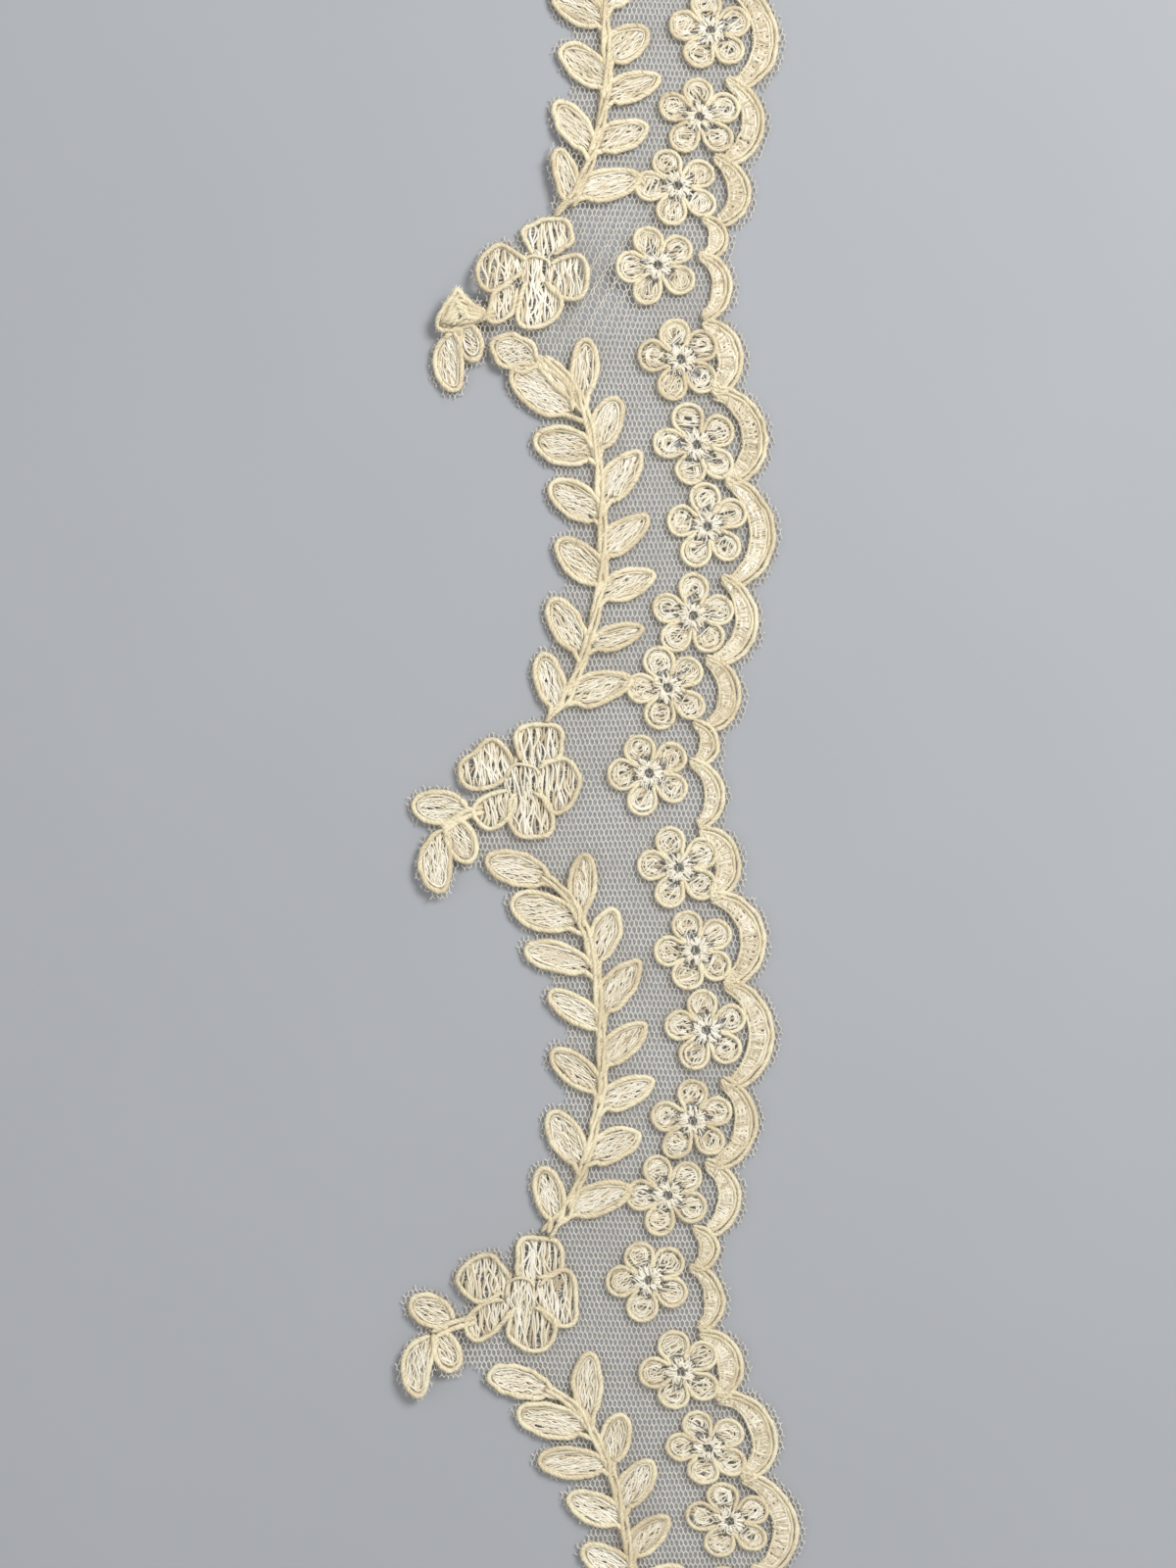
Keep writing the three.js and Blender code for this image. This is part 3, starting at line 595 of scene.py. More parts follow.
def addFibres(parts, line, halfWide, halfHigh):
    places, aside, ahead = pickPlaces(line, fuzz["step"])
    each = (len(places), 1)
    way = rng.choice([-1, 1], each)
    reach = np.minimum(rng.gamma(*fuzz["lengths"], each), fuzz["longest"]) * np.array([0, 1])
    lean = rng.normal(0, fuzz["lean"], each) * reach
    curl = rng.uniform(*fuzz["curl"], each) * reach
    above = halfHigh * rng.uniform(*fuzz["heights"], each) + curl
    lines = strandsAt(places, aside, ahead, way * (halfWide * fuzz["from"] + reach), lean, above)
    keep = uncut(lines).all(axis=1)
    if keep.any():
        parts.append(sweep(lines[keep], fuzz["halves"], fuzz["halves"], sections["floss"]))


# Floss: a bed of close stitches inside the cords, and finer ones that sway over it
floss = {
    "halfWide": 0.2,
    "halfHigh": 0.075,
    "sizes": (0.75, 1.25),
    "endSize": 0.6,
    "swell": 0.48,  # added in the middle of a stitch
    "sway": 0.08,  # to one side, as a share of the length
    "swayBoth": 0.7,  # and to both sides, as a share of that
    "foot": 0.78,  # over the table
    "uneven": 0.04,  # in height
    "lowest": 0.14,
    "bows": (0.7, 1.2),
    "bowPower": 0.7,
    "layerRise": 0.09,
}
# the bed's tone is drawn low: painted shade under the finer strands that lie over it
shadedBedStitch = {"height": 0, "points": 4, "tone": (-0.5, 0.4)}
# flat stitches of the under thread, on the side that lies on the table
backStitch = {"height": 0.4 - floss["foot"], "bow": -0.1, "thick": 0.9, "points": 3}
backPitch = 0.9
laying = {  # in shares of the strands' pitch, or of a stitch
    "first": (0.3, 0.7), "last": 0.2, "uneven": 0.16, "lengths": (0.8, 1.3), "lengthStray": 0.12,
    "overlap": 0.06, "tiny": 1e-12}


# the default tone is drawn high: on the strands over the bed it is painted light, as if lit on top
def addStitches(parts, starts, ends, height, bow, thick=1.0, points=6, tone=(0.5, 1.25)):
    inside = uncut(starts) & uncut(ends)
    starts, ends = starts[inside], ends[inside]
    each = (len(starts), 1)
    if not len(starts):
        return
    share = np.linspace(0, 1, points)
    arch = np.sin(np.pi * share)
    span = ends - starts
    sway = rng.normal(0, floss["sway"], each) * arch
    sway = sway + rng.normal(0, floss["swayBoth"] * floss["sway"], each) * np.sin(2 * np.pi * share)
    lines = np.empty((len(starts), points, 3))
    lines[..., :2] = starts[:, None] + span[:, None] * share[:, None]
    lines[..., :2] += leftOf(span)[:, None] * sway[..., None]
    rise = bow * rng.uniform(*floss["bows"], each) * arch ** floss["bowPower"]
    lines[..., 2] = floss["foot"] + height + rng.normal(0, floss["uneven"], each) + rise
    lines[..., 2] = np.maximum(floss["lowest"], lines[..., 2]) + liftAt(lines[..., :2])
    size = thick * rng.uniform(*floss["sizes"], each) * (floss["endSize"] + floss["swell"] * arch**0.5)
    wide, high = floss["halfWide"] * size, floss["halfHigh"] * size
    parts.append(sweep(lines, wide, high, sections["floss"], tone=tone))


def chordsOf(outline, angle, pitch):
    # strands laid across an outline, all at one angle
    spin = np.array([[math.cos(angle), -math.sin(angle)], [math.sin(angle), math.cos(angle)]])
    turned = outline @ spin
    after = np.roll(turned, -1, axis=0)
    first = turned[:, 1].min() + pitch * rng.uniform(*laying["first"])
    levels = np.arange(first, turned[:, 1].max() - laying["last"] * pitch, pitch)
    found = []
    for level in levels + rng.normal(0, laying["uneven"] * pitch, len(levels)):
        share = (level - turned[:, 1]) / (after[:, 1] - turned[:, 1] + laying["tiny"])
        hit = (share >= 0) & (share < 1)
        crossings = turned[hit, 0] + (after[hit, 0] - turned[hit, 0]) * share[hit]
        if len(crossings) > 1:
            found.append((crossings.min(), crossings.max(), level))
    found = np.array(found).reshape(-1, 3)
    return found[:, [0, 2]] @ spin.T, found[:, [1, 2]] @ spin.T


def addBack(parts, outline, angle):
    addStitches(parts, *chordsOf(outline, angle, backPitch), **backStitch)


def brokenUp(starts, ends, stitch, skip, stray):
    # each strand in stitches of about one length, some left out, ends a little astray
    firsts, lasts = [], []
    for start, end in zip(starts, ends):
        long = np.linalg.norm(end - start)
        count = max(1, round(long / (stitch * rng.uniform(*laying["lengths"]))))
        marks = np.linspace(0, 1, count + 1)
        marks[1:-1] += rng.normal(0, laying["lengthStray"] / count, count - 1)
        for a, b in zip(marks, marks[1:]):
            if rng.random() > skip:
                firsts.append(start + (end - start) * (a - laying["overlap"]))
                lasts.append(start + (end - start) * (b + laying["overlap"]))
    firsts, lasts = np.array(firsts).reshape(-1, 2), np.array(lasts).reshape(-1, 2)
    return firsts + rng.normal(0, stray, firsts.shape), lasts + rng.normal(0, stray, lasts.shape)


def fillOutline(parts, outline, angle, look, loose=1.0):
    # a bed of stitches, and layers of finer ones that cross a little
    for layer in range(look["layers"]):
        lean = math.radians(rng.normal(0, look["lean"]) + (layer - 1) * look["cross"]) * loose
        starts, ends = chordsOf(outline, angle + lean, look["finePitch" if layer else "pitch"])
        skip = look["skip"] if layer else look["gaps"]
        starts, ends = brokenUp(starts, ends, look["stitch"], skip, look["stray"] * loose)
        if layer:
            height = floss["layerRise"] * layer
            addStitches(parts, starts, ends, height, look["bow"], look["fine"], look["points"])
        else:
            addStitches(parts, starts, ends, bow=look["bow"], **shadedBedStitch)


leafFill = {  # fine is the size of the upper strands, gaps and skip the share left out below and above
    "layers": 3, "fine": 0.6, "pitch": 0.27, "finePitch": 0.4, "lean": 6, "cross": 13, "gaps": 0.16,
    "skip": 0.16, "stitch": 2.1, "stray": 0.12, "bow": 0.2, "points": 6}
petalFill = {
    "layers": 3, "fine": 0.9, "pitch": 0.34, "finePitch": 0.56, "lean": 3, "cross": 6, "gaps": 0.34,
    "skip": 0.34, "stitch": 5.0, "stray": 0.18, "bow": 0.2, "points": 8}
smallFill = {
    "layers": 2, "fine": 0.6, "pitch": 0.3, "finePitch": 0.45, "lean": 8, "cross": 28, "gaps": 0.45,
    "skip": 0.35, "stitch": 2.8, "stray": 0.14, "bow": 0.2, "points": 6}


# Vine: a stem of laid cords, and leaves whose cord comes off the stem and goes back to it
vine = {
    "strands": 3,
    "stemApart": 0.62,
    "stemHalf": 0.47,
    "stemRise": 0.18,
    "stemLay": 29,  # length of one turn of its strands
    "footRun": 9,  # near its foot it is two cords
    "parted": (0.2, 0.2, 1.0, 0.2),  # how far they part there, in each repeat
    "rootRun": 2.6,  # how much lower on the stem a leaf's cord comes off
    "rise": 0.1,  # of that cord's ends over the stem
    "inset": 0.56,
    "innerInset": 1.2,
    "inner": {"height": 0.2, "size": 0.7},  # the thin cord inside
    "fillInset": 0.94,
    "backTurn": 1.3,
    "crumpled": {(1, 0): 2.5},  # (repeat, leaf) and how loosely it lies
    "folded": {(1, 0): chart(leafColumns, (-3, 13, -10, 5.5, 3))},  # and the narrow part behind its fold
    "ties": (  # crossed cords from the lowest inner leaf to the flower beside it
        ((6.0, 62.2), (7.2, 63.0), (8.6, 64.4)),
        ((6.0, 64.2), (7.2, 63.2), (8.6, 61.8)),
    ),
    "tie": {"halfWide": 0.4, "height": 0.2},
}


def leafPath(row, stem):
    # from lower on the stem, round by the tip, and back to the stem at the leaf's foot,
    # without the points of the outline nearest to it
    foot = spot(row, "foot")
    run = runAlong(stem)
    near = run[np.argmin(np.linalg.norm(stem - foot, axis=1))]
    root = pointsAt(near + vine["rootRun"], run, stem)
    around = leafOutline(row, vine["inset"])[2:-1]
    if np.linalg.norm(around[0] - root) > np.linalg.norm(around[-1] - root):
        around = around[::-1]
    return curveThrough(np.concatenate([[root], around, [foot]]), perSpan=6)


def addLeaf(cords, flosses, lay, row, stem, loose=1.0):
    addCord(cords, lay(leafPath(row, stem)), rise=vine["rise"], loose=loose)
    innerLine = curveThrough(leafOutline(row, vine["innerInset"])[3:-2], perSpan=4)
    addThinCord(flosses, lay(innerLine), **vine["inner"])
    outline = lay(leafOutline(row, vine["fillInset"]))
    run = lay([spot(row, "foot"), spot(row, "tip")])
    angle = math.atan2(*(run[1] - run[0])[::-1])
    fillOutline(flosses, outline, angle, leafFill, loose)
    addBack(flosses, outline, angle + vine["backTurn"])


def makeVine(repeat):
    cords, flosses = [], []
    lay = partial(layIn, repeat)
    stem = curveThrough(np.stack([stemRows["u"], stemRows["v"]], -1))
    run = runAlong(stem)
    parting = vine["parted"][repeat] * np.clip(1 - (run[-1] - run) / vine["footRun"], 0, 1)
    for strand in range(vine["strands"]):
        turn = 2 * np.pi * (run / vine["stemLay"] + strand / vine["strands"])
        aside = vine["stemApart"] * np.sin(turn) + (1 - strand) * parting
        line = stem + sidesOf(stem) * aside[:, None]
        height = vine["stemRise"] * (1 + np.cos(turn))
        laid = run <= run[-1] - (vine["footRun"] if strand == 1 else 0)
        addCord(cords, lay(line[laid]), vine["stemHalf"], height[laid])
    for number, row in enumerate(leavesOf(repeat)):
        foot = stem
        for narrow in vine["folded"].get((repeat, number), ()):
            addLeaf(cords, flosses, lay, narrow, stem)
            foot = curveThrough([spot(narrow, "tip"), spot(narrow, "foot")])
        addLeaf(cords, flosses, lay, row, foot, vine["crumpled"].get((repeat, number), 1))
    for tie in vine["ties"]:
        if kept(repeat, tie[0]):
            addCord(cords, lay(curveThrough(tie)), **vine["tie"])
    return cords, flosses


# Spray: leaflets, and broad petals whose cords are open towards a filled middle with a thin arch over it
spray = {
    "halfWide": 0.52,
    "loose": 1.8,
    "petalRise": 0.04,  # each petal lies a little over the one before
    "inset": 0.52,
    "fillInset": 0.76,
    "fillTurn": math.pi / 2,
    "backTurn": 0.2,
    "middleInset": -0.4,
    "archHeight": 0.3,
    "open": 0.16,  # share of a petal's ring, towards the middle
    "stalkApart": 0.45,
    "crumpled": {(0, 1): 4},  # (repeat, leaflet) and how loosely it lies
}
fold = {
    "cords": {  # (repeat, leaflet) and the cords of one folded over itself, the outer first
        (0, 0): (
            ((-19.1, 89.9), (-22.0, 88.5), (-23.9, 86.5), (-24.8, 85.4), (-25.6, 86.8), (-27.0, 89.4),
             (-27.8, 91.5), (-27.4, 93.1), (-25.2, 93.4), (-23.6, 92.9)),
            ((-19.4, 90.6), (-21.6, 89.8), (-24.0, 88.5), (-25.0, 88.2), (-26.0, 90.3), (-27.0, 92.2)),
            ((-20.0, 91.2), (-22.4, 90.8), (-24.1, 89.8), (-25.1, 91.1), (-25.9, 92.5)),
            ((-20.6, 91.5), (-22.5, 91.8), (-24.3, 92.3)),
        ),
    },
    "heights": (0.1, 0.5, 0.8, 0.6),  # one for each of its cords
    "loose": 1.5,
    "outlineEvery": 4,  # of the outer cord's points
    "bedHeights": (0.1, 0.45),  # one for each bed of floss
    "bedTurn": 0.9,
    "bedLoose": 2,
    "bedShare": 0.8,
    "bedPitch": 0.4,
    "bedBow": 0.2,
    "between": (0.35, 0.65),  # thin cords, in shares of the way from one cord to the next
    "betweenPoints": 24,
    "betweenRise": 0.3,
    "betweenSize": 1.2,
}


def addFolded(cords, flosses, lay, lines):
    lines = [curveThrough(line) for line in lines]
    outline = lay(lines[0][:: fold["outlineEvery"]])
    for height in fold["bedHeights"]:
        fillOutline(flosses, outline, fold["bedTurn"], leafFill, fold["bedLoose"])
        within = (outline - outline.mean(axis=0)) * fold["bedShare"] + outline.mean(axis=0)
        addStitches(flosses, *chordsOf(within, fold["bedTurn"], fold["bedPitch"]), height, fold["bedBow"])
    for line, height in zip(lines, fold["heights"]):
        addCord(cords, lay(line), height=height, loose=fold["loose"])
    shares = np.linspace(0, 1, fold["betweenPoints"])
    for outer, inner, height in zip(lines, lines[1:], fold["heights"]):
        ends = [curve[(shares * (len(curve) - 1)).astype(int)] for curve in (outer, inner)]
        for part in fold["between"]:
            line = lay(ends[0] * (1 - part) + ends[1] * part)
            addThinCord(cords, line, height + fold["betweenRise"], fold["betweenSize"])


def makeSpray(repeat):
    cords, flosses = [], []
    lay = partial(layIn, repeat)
    petals = sprayRows[repeat]["petals"]
    hub = spot(petals[0])
    for number, row in enumerate(petals):
        whole = petalOutline(row, hub if number else None)
        ring = curveThrough(drawnIn(whole, spray["inset"]), closed=True)[:-1]
        if number:
            start = np.argmin(np.linalg.norm(ring - hub, axis=1))
            gap = int(spray["open"] * len(ring) / 2)
            ring = np.roll(ring, -start, axis=0)[gap : len(ring) - gap]
            height = spray["petalRise"] * number
            addCord(cords, lay(ring), spray["halfWide"], height, loose=spray["loose"])
        else:
            quarter = len(ring) // 4
            arch = np.roll(ring, -np.argmax(ring[:, 1]), axis=0)[quarter : 3 * quarter + 1]
            addThinCord(cords, lay(arch), spray["archHeight"])
        outline = lay(drawnIn(whole, spray["fillInset" if number else "middleInset"]))
        fillOutline(flosses, outline, spray["fillTurn"], petalFill)
        addBack(flosses, outline, spray["backTurn"])
    stalk = curveThrough(sprayRows[repeat]["stalk"])
    for apart in (-1, 1):
        addCord(cords, lay(stalk + sidesOf(stalk) * apart * spray["stalkApart"]))
    for number, row in enumerate(sprayRows[repeat]["leaflets"]):
        if (repeat, number) in fold["cords"]:
            addFolded(cords, flosses, lay, fold["cords"][repeat, number])
        else:
            addLeaf(cords, flosses, lay, row, stalk, spray["crumpled"].get((repeat, number), 1))
    return cords, flosses


# Small flower: one cord looped into five round petals, floss in them and round the bare eye
flower = {
    "petals": 5,
    "halfWide": 0.47,
    "loose": 0.4,
    "turnStray": 2.5,  # degrees
    "loop": chart(  # out from the middle, and aside from the petal's axis
        "out aside", (2.7, 1.6), (3.5, 2.12), (4.5, 2.5), (5.5, 2.48), (6.4, 2.04), (7.1, 1.2), (7.4, 0)),
    "loopStray": 0.04,
    "outStray": 0.6,  # share of that along the petal
    "hub": 2.3,  # where the cord turns between two petals
    "petalOut": 5.0,  # middle of a petal
    "fill": 0.86,  # share of the loop
    "slant": (0.6, 0.3),  # of the floss in a flower, mean and spread
    "slantStray": 0.3,  # from petal to petal
}
swirl = {  # loose strands that go round inside a petal; their tone is drawn high, painted light as on the upper strands
    "count": 7, "sizes": (0.3, 0.84), "loopStray": 0.06, "stray": 0.09, "heights": (0.08, 0.3),
    "lift": 0.06, "liftStep": 1.3, "wide": 0.62, "wides": (0.8, 1.2), "flat": 0.6, "tone": (0.6, 1.2)}
spoke = {  # stitches round the eye, over the feet of the loops
    "rings": ((44, 0.28, 3.0), (38, 0.7, 2.6)),  # how many, how high, how far out
    "eye": 0.9, "stray": 0.08, "nears": (-0.1, 0.25), "fars": (0.75, 1.08), "bend": 0.5,
    "stitch": {"bow": 0.2, "thick": 0.72}}


def flowerPetals(row):
    petalTurn = 2 * math.pi / flower["petals"]
    for petal in range(flower["petals"]):
        yield math.pi + petal * petalTurn + math.radians(row["turn"] + rng.normal(0, flower["turnStray"]))


def petalLoop(angle, size=1.0, stray=0.0):
    # the loop of one petal from the flower's middle, drawn in towards the petal's own
    ahead = np.array([math.cos(angle), math.sin(angle)])
    out = flower["loop"]["out"] * rng.normal(1, flower["outStray"] * stray)
    aside = flower["loop"]["aside"] * rng.normal(1, stray) * size
    out = flower["petalOut"] + (np.concatenate([out, out[-2::-1]]) - flower["petalOut"]) * size
    aside = np.concatenate([-aside, aside[-2::-1]])
    return np.outer(out, ahead) + np.outer(aside, leftOf(ahead))


def flowerPath(row, angles):
    points = []
    for angle in angles:
        hub = angle - math.pi / flower["petals"]
        points.append([[flower["hub"] * math.cos(hub), flower["hub"] * math.sin(hub)]])
        points.append(petalLoop(angle, stray=flower["loopStray"]))
    return np.concatenate(points) + spot(row)


def addSwirls(parts, lay, place, angle):
    lines = []
    for size in rng.uniform(*swirl["sizes"], swirl["count"]):
        loop = lay(place + petalLoop(angle, size, swirl["loopStray"]))
        loop = loop + rng.normal(0, swirl["stray"], loop.shape)
        lift = swirl["lift"] * np.sin(np.arange(len(loop)) * swirl["liftStep"])
        height = floss["foot"] + rng.uniform(*swirl["heights"]) + lift
        if uncut(loop).all():
            lines.append(np.column_stack([loop, height + liftAt(loop)]))
    if lines:
        wide = swirl["wide"] * floss["halfWide"] * rng.uniform(*swirl["wides"], (len(lines), 1))
        parts.append(sweep(lines, wide, wide * swirl["flat"], sections["floss"], tone=swirl["tone"]))


def ringOf(angles, far):
    return far[:, None] * np.stack([np.cos(angles), np.sin(angles)], -1)


def addSpokes(parts, lay, place):
    for count, height, reach in spoke["rings"]:
        angles = np.linspace(0, 2 * np.pi, count) + rng.normal(0, spoke["stray"], count)
        near = spoke["eye"] + rng.uniform(*spoke["nears"], count)
        far = reach * rng.uniform(*spoke["fars"], count)
        bent = angles + rng.normal(0, spoke["bend"], count)
        starts, ends = lay(place + ringOf(angles, near)), lay(place + ringOf(bent, far))
        addStitches(parts, starts, ends, height, **spoke["stitch"])


def makeFlowers(repeat, rows):
    cords, flosses = [], []
    lay = partial(layIn, repeat)
    for row in rows:
        place = spot(row)
        angles = list(flowerPetals(row))
        path = curveThrough(flowerPath(row, angles), closed=True, perSpan=6)
        addCord(cords, lay(path), flower["halfWide"], loose=flower["loose"])
        slant = rng.normal(*flower["slant"])
        for angle in angles:
            outline = lay(place + petalLoop(angle, flower["fill"]))
            fillOutline(flosses, outline, slant + rng.normal(0, flower["slantStray"]), smallFill)
            addBack(flosses, outline, rng.uniform(0, np.pi))
            addSwirls(flosses, lay, place, angle)
        addSpokes(flosses, lay, place)
    return cords, flosses


# Scallops: two cords along the outside, one turned round the ends, satin stitches from them inwards
scallop = {
    "outer": {"halfWide": 0.5, "height": 0.1, "taper": (0.5, 1.6)},
    "second": {"halfWide": 0.4, "height": 0.16, "taper": (0.5, 1.6)},
    "secondLine": 1.32,  # from the edge
    "hook": 0.1,  # share of the band's length that the turned end takes
    "innerLine": 0.4,
    "innerSize": 0.9,
    "padding": (0.2, 0.5, 0.8),  # thin cords under the satin, in shares of the room for them
    "padFrom": 1.1,
    "padLess": 1.7,
    "padSize": 1.2,
    "points": 15,
}
satin = {  # its inner edge is ragged; slant is a mean and a spread
    "pitch": 0.2, "along": (0.02, 0.98), "uneven": 0.005, "from": 1.35, "fromStray": 0.06,
    "slant": (0.02, 0.012), "ragged": 0.3, "backEvery": 3,
    "stitch": {"height": 0.24, "bow": 0.3, "thick": 0.8, "points": 4, "tone": (-0.4, 1.0)}}


def makeScallops(repeat, rows):
    cords, flosses = [], []
    lay = partial(layIn, repeat)
    shares = np.linspace(0, 1, scallop["points"])
    for row in rows:
        edge, out = scallopArc(row, shares)
        wide = scallopWidth(row, shares)[:, None]
        outer = curveThrough(edge - out * scallop["outer"]["halfWide"])
        addCord(cords, lay(outer), **scallop["outer"])
        inner = edge - out * (wide - scallop["innerLine"])
        turned = int(scallop["hook"] * scallop["points"])
        second = (edge - out * scallop["secondLine"])[1:-1]
        hooked = np.concatenate([inner[turned:0:-1], [(inner + edge)[0] / 2], second])
        hooked = np.concatenate([hooked, [(inner + edge)[-1] / 2], inner[-2 : -2 - turned : -1]])
        addThinCord(cords, lay(inner), size=scallop["innerSize"])
        addCord(cords, lay(curveThrough(hooked)), **scallop["second"])
        for share in scallop["padding"]:
            depth = scallop["padFrom"] + (wide - scallop["padLess"]) * share
            line = curveThrough(edge - out * depth, perSpan=3)
            addThinCord(flosses, lay(line), size=scallop["padSize"])
        addSatin(flosses, lay, row, runAlong(edge)[-1])
    return cords, flosses


def addSatin(parts, lay, row, long):
    at = np.linspace(*satin["along"], int(long / satin["pitch"]))
    at = np.clip(at + rng.normal(0, satin["uneven"], len(at)), 0, 1)
    edge, out = scallopArc(row, at)
    wide = scallopWidth(row, at)[:, None]
    starts = lay(edge - out * (satin["from"] + rng.normal(0, satin["fromStray"], wide.shape)))
    edge, out = scallopArc(row, at + rng.normal(*satin["slant"], len(at)))
    ends = lay(edge - out * (wide - np.abs(rng.normal(0, satin["ragged"], wide.shape))))
    addStitches(parts, starts, ends, **satin["stitch"])
    every = satin["backEvery"]
    addStitches(parts, starts[::every], ends[::every], **backStitch)


# Materials: fibres that run along each thread, an uneven tint from thread to thread, and painted shade
# between the crests of the plies
def newMaterial(name, values):
    material = bpy.data.materials.new(name)
    material.use_nodes = True
    shader = material.node_tree.nodes["Principled BSDF"]
    for socket, value in values.items():
        shader.inputs[socket].default_value = value
    return material, shader


def addNode(material, kind, values=None, **settings):
    node = material.node_tree.nodes.new(kind)
    for name, value in settings.items():
        setattr(node, name, value)
    for socket, value in (values or {}).items():
        node.inputs[socket].default_value = value
    return node


def joinNodes(material, *joins):
    for source, output, target, socket in joins:
        material.node_tree.links.new(source.outputs[output], target.inputs[socket])


def addMath(material, operation, factor=1.0):
    return addNode(material, "ShaderNodeMath", {1: factor}, operation=operation)


def threadMaterial(name, look):
    material, shader = newMaterial(name, {
        "Roughness": look["roughness"], "Specular IOR Level": look["gloss"],
        "Sheen Weight": look["sheen"], "Sheen Roughness": look["sheenSpread"]})
    threadMap = addNode(material, "ShaderNodeUVMap", uv_map="thread")
    lean = (0, 0, look["fibreLean"])
    stretch = addNode(material, "ShaderNodeMapping", {"Scale": look["fibreScale"], "Rotation": lean})
    fibres = addNode(material, "ShaderNodeTexNoise", {"Scale": 1, "Detail": look["fibreDetail"]})
    tone = addNode(material, "ShaderNodeAttribute", attribute_name="tone")
    places = addNode(material, "ShaderNodeTexCoord")
    patches = addNode(
        material, "ShaderNodeTexNoise", {"Scale": look["patchScale"], "Detail": look["patchDetail"]})
    mixture = addMath(material, "MULTIPLY_ADD", look["toneShare"])
    blend = addMath(material, "MULTIPLY_ADD", look["fibreShare"])
    parted = addNode(material, "ShaderNodeSeparateXYZ")
    # painted shade: the tint is lighter on the crests of the plies and darker between them, as in the
    # grooves of the twist
    turned = addMath(material, "MULTIPLY", 2 * math.pi * look["plies"])
    grooveShade = addMath(material, "COSINE")
    grooveShaded = addMath(material, "MULTIPLY_ADD", look["plyGrooveShade"])
    # the tint is scaled to end at 1, as the ramp does
    shadeAt, bodyAt, lightAt = look["ramp"]
    scaled = addMath(material, "MULTIPLY", 1 / lightAt)
    ramp = addNode(material, "ShaderNodeValToRGB")
    shade, light = ramp.color_ramp.elements
    shade.position = shadeAt / lightAt
    shade.color = (*look["shade"], 1)
    light.color = (*look["light"], 1)
    ramp.color_ramp.elements.new(bodyAt / lightAt).color = (*look["body"], 1)
    depth = look["bumpDepth"] * mm
    bump = addNode(material, "ShaderNodeBump", {"Strength": look["bump"], "Distance": depth})
    joinNodes(
        material,
        (threadMap, "UV", stretch, "Vector"),
        (stretch, "Vector", fibres, "Vector"),
        (places, "Object", patches, "Vector"),
        (tone, "Fac", mixture, 0),
        (patches, "Fac", mixture, 2),
        (fibres, "Fac", blend, 0),
        (mixture, 0, blend, 2),
        (threadMap, "UV", parted, 0),
        (parted, "X", turned, 0),
        (turned, 0, grooveShade, 0),
        (grooveShade, 0, grooveShaded, 0),
        (blend, 0, grooveShaded, 2),
        (grooveShaded, 0, scaled, 0),
        (scaled, 0, ramp, "Fac"),
        (ramp, "Color", shader, "Base Color"),
        (fibres, "Fac", bump, "Height"),
        (bump, "Normal", shader, "Normal"),
    )
    return material


everyLook = {"sheenSpread": 0.5, "fibreDetail": 3, "patchDetail": 2}
cordLook = {  # ramp says where in the tint the three colours lie
    **everyLook, "shade": (0.6, 0.49, 0.31), "body": (0.81, 0.69, 0.46), "light": (0.95, 0.86, 0.61),
    "ramp": (0.3, 0.8, 1.0), "toneShare": 0.25, "fibreShare": 0.5, "patchScale": 180,
    "plies": 3, "plyGrooveShade": 0.13, "fibreScale": (12, 4, 1), "fibreLean": 0.5, "bump": 0.55,
    "bumpDepth": 0.14, "roughness": 0.8, "gloss": 0.2, "sheen": 0.6}
flossLook = {
    **everyLook, "shade": (0.62, 0.52, 0.35), "body": (0.9, 0.805, 0.605), "light": (1.0, 0.97, 0.86),
    "ramp": (0.6, 1.1, 1.75), "toneShare": 0.8, "fibreShare": 0.45, "patchScale": 140,
    "plies": 2, "plyGrooveShade": 0.05, "fibreScale": (8, 0.7, 1), "fibreLean": 0.1, "bump": 0.3,
    "bumpDepth": 0.05, "roughness": 0.34, "gloss": 0.6, "sheen": 0.15}
netLook = {
    **everyLook, "shade": (0.72, 0.65, 0.54), "body": (0.87, 0.81, 0.7), "light": (0.95, 0.9, 0.8),
    "ramp": (0.4, 0.9, 1.0), "toneShare": 0.4, "fibreShare": 0.4, "patchScale": 90,
    "plies": 1, "plyGrooveShade": 0.05, "fibreScale": (6, 3, 1), "fibreLean": 0.3, "bump": 0.1,
    "bumpDepth": 0.02, "roughness": 0.5, "gloss": 0.4, "sheen": 0.1}
cordMaterial = threadMaterial("creamCord", cordLook)
flossMaterial = threadMaterial("ivoryFloss", flossLook)
netMaterial = threadMaterial("netYarn", netLook)
print("materials made")


def addPiece(name, parts, material, nodes):
    piece = joinThreads(name, parts, material)
    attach(piece, "root")
    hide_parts(*nodes)
    print(name, "has", sum(len(face.vertices) - 2 for face in piece.data.polygons), "triangles")
    return piece


def addPair(name, made, nodes):
    cords, flosses = made
    return [
        addPiece(name + "Cord", cords, cordMaterial, nodes),
        addPiece(name + "Floss", flosses, flossMaterial, nodes),
    ]


# Embroidery, repeat by repeat
sewnOn = []
flowerNumber = 0
scallopParts = ([], [])
for repeat in range(strip["repeats"]):
    sewnOn += addPair(f"vine{repeat + 1}", makeVine(repeat), [f"vine_{repeat + 1}"])
    if hasSpray(repeat):
        sewnOn += addPair(f"spray{repeat + 1}", makeSpray(repeat), [f"spray_{repeat + 1}"])
    flowers = [row for row in flowerRows if kept(repeat, spot(row))]
    nodes = [f"flower_{flowerNumber + k + 1:02d}" for k in range(len(flowers))]
    flowerNumber += len(flowers)
    sewnOn += addPair(f"flowers{repeat + 1}", makeFlowers(repeat, flowers), nodes)
    scallops = [row for row in scallopRows if kept(repeat, spot(row, "bulge"))]
    for bundle, more in zip(scallopParts, makeScallops(repeat, scallops)):
        bundle += more
sewnOn += addPair("scallops", scallopParts, ["scallop_edge"])
print("embroidery sewn")


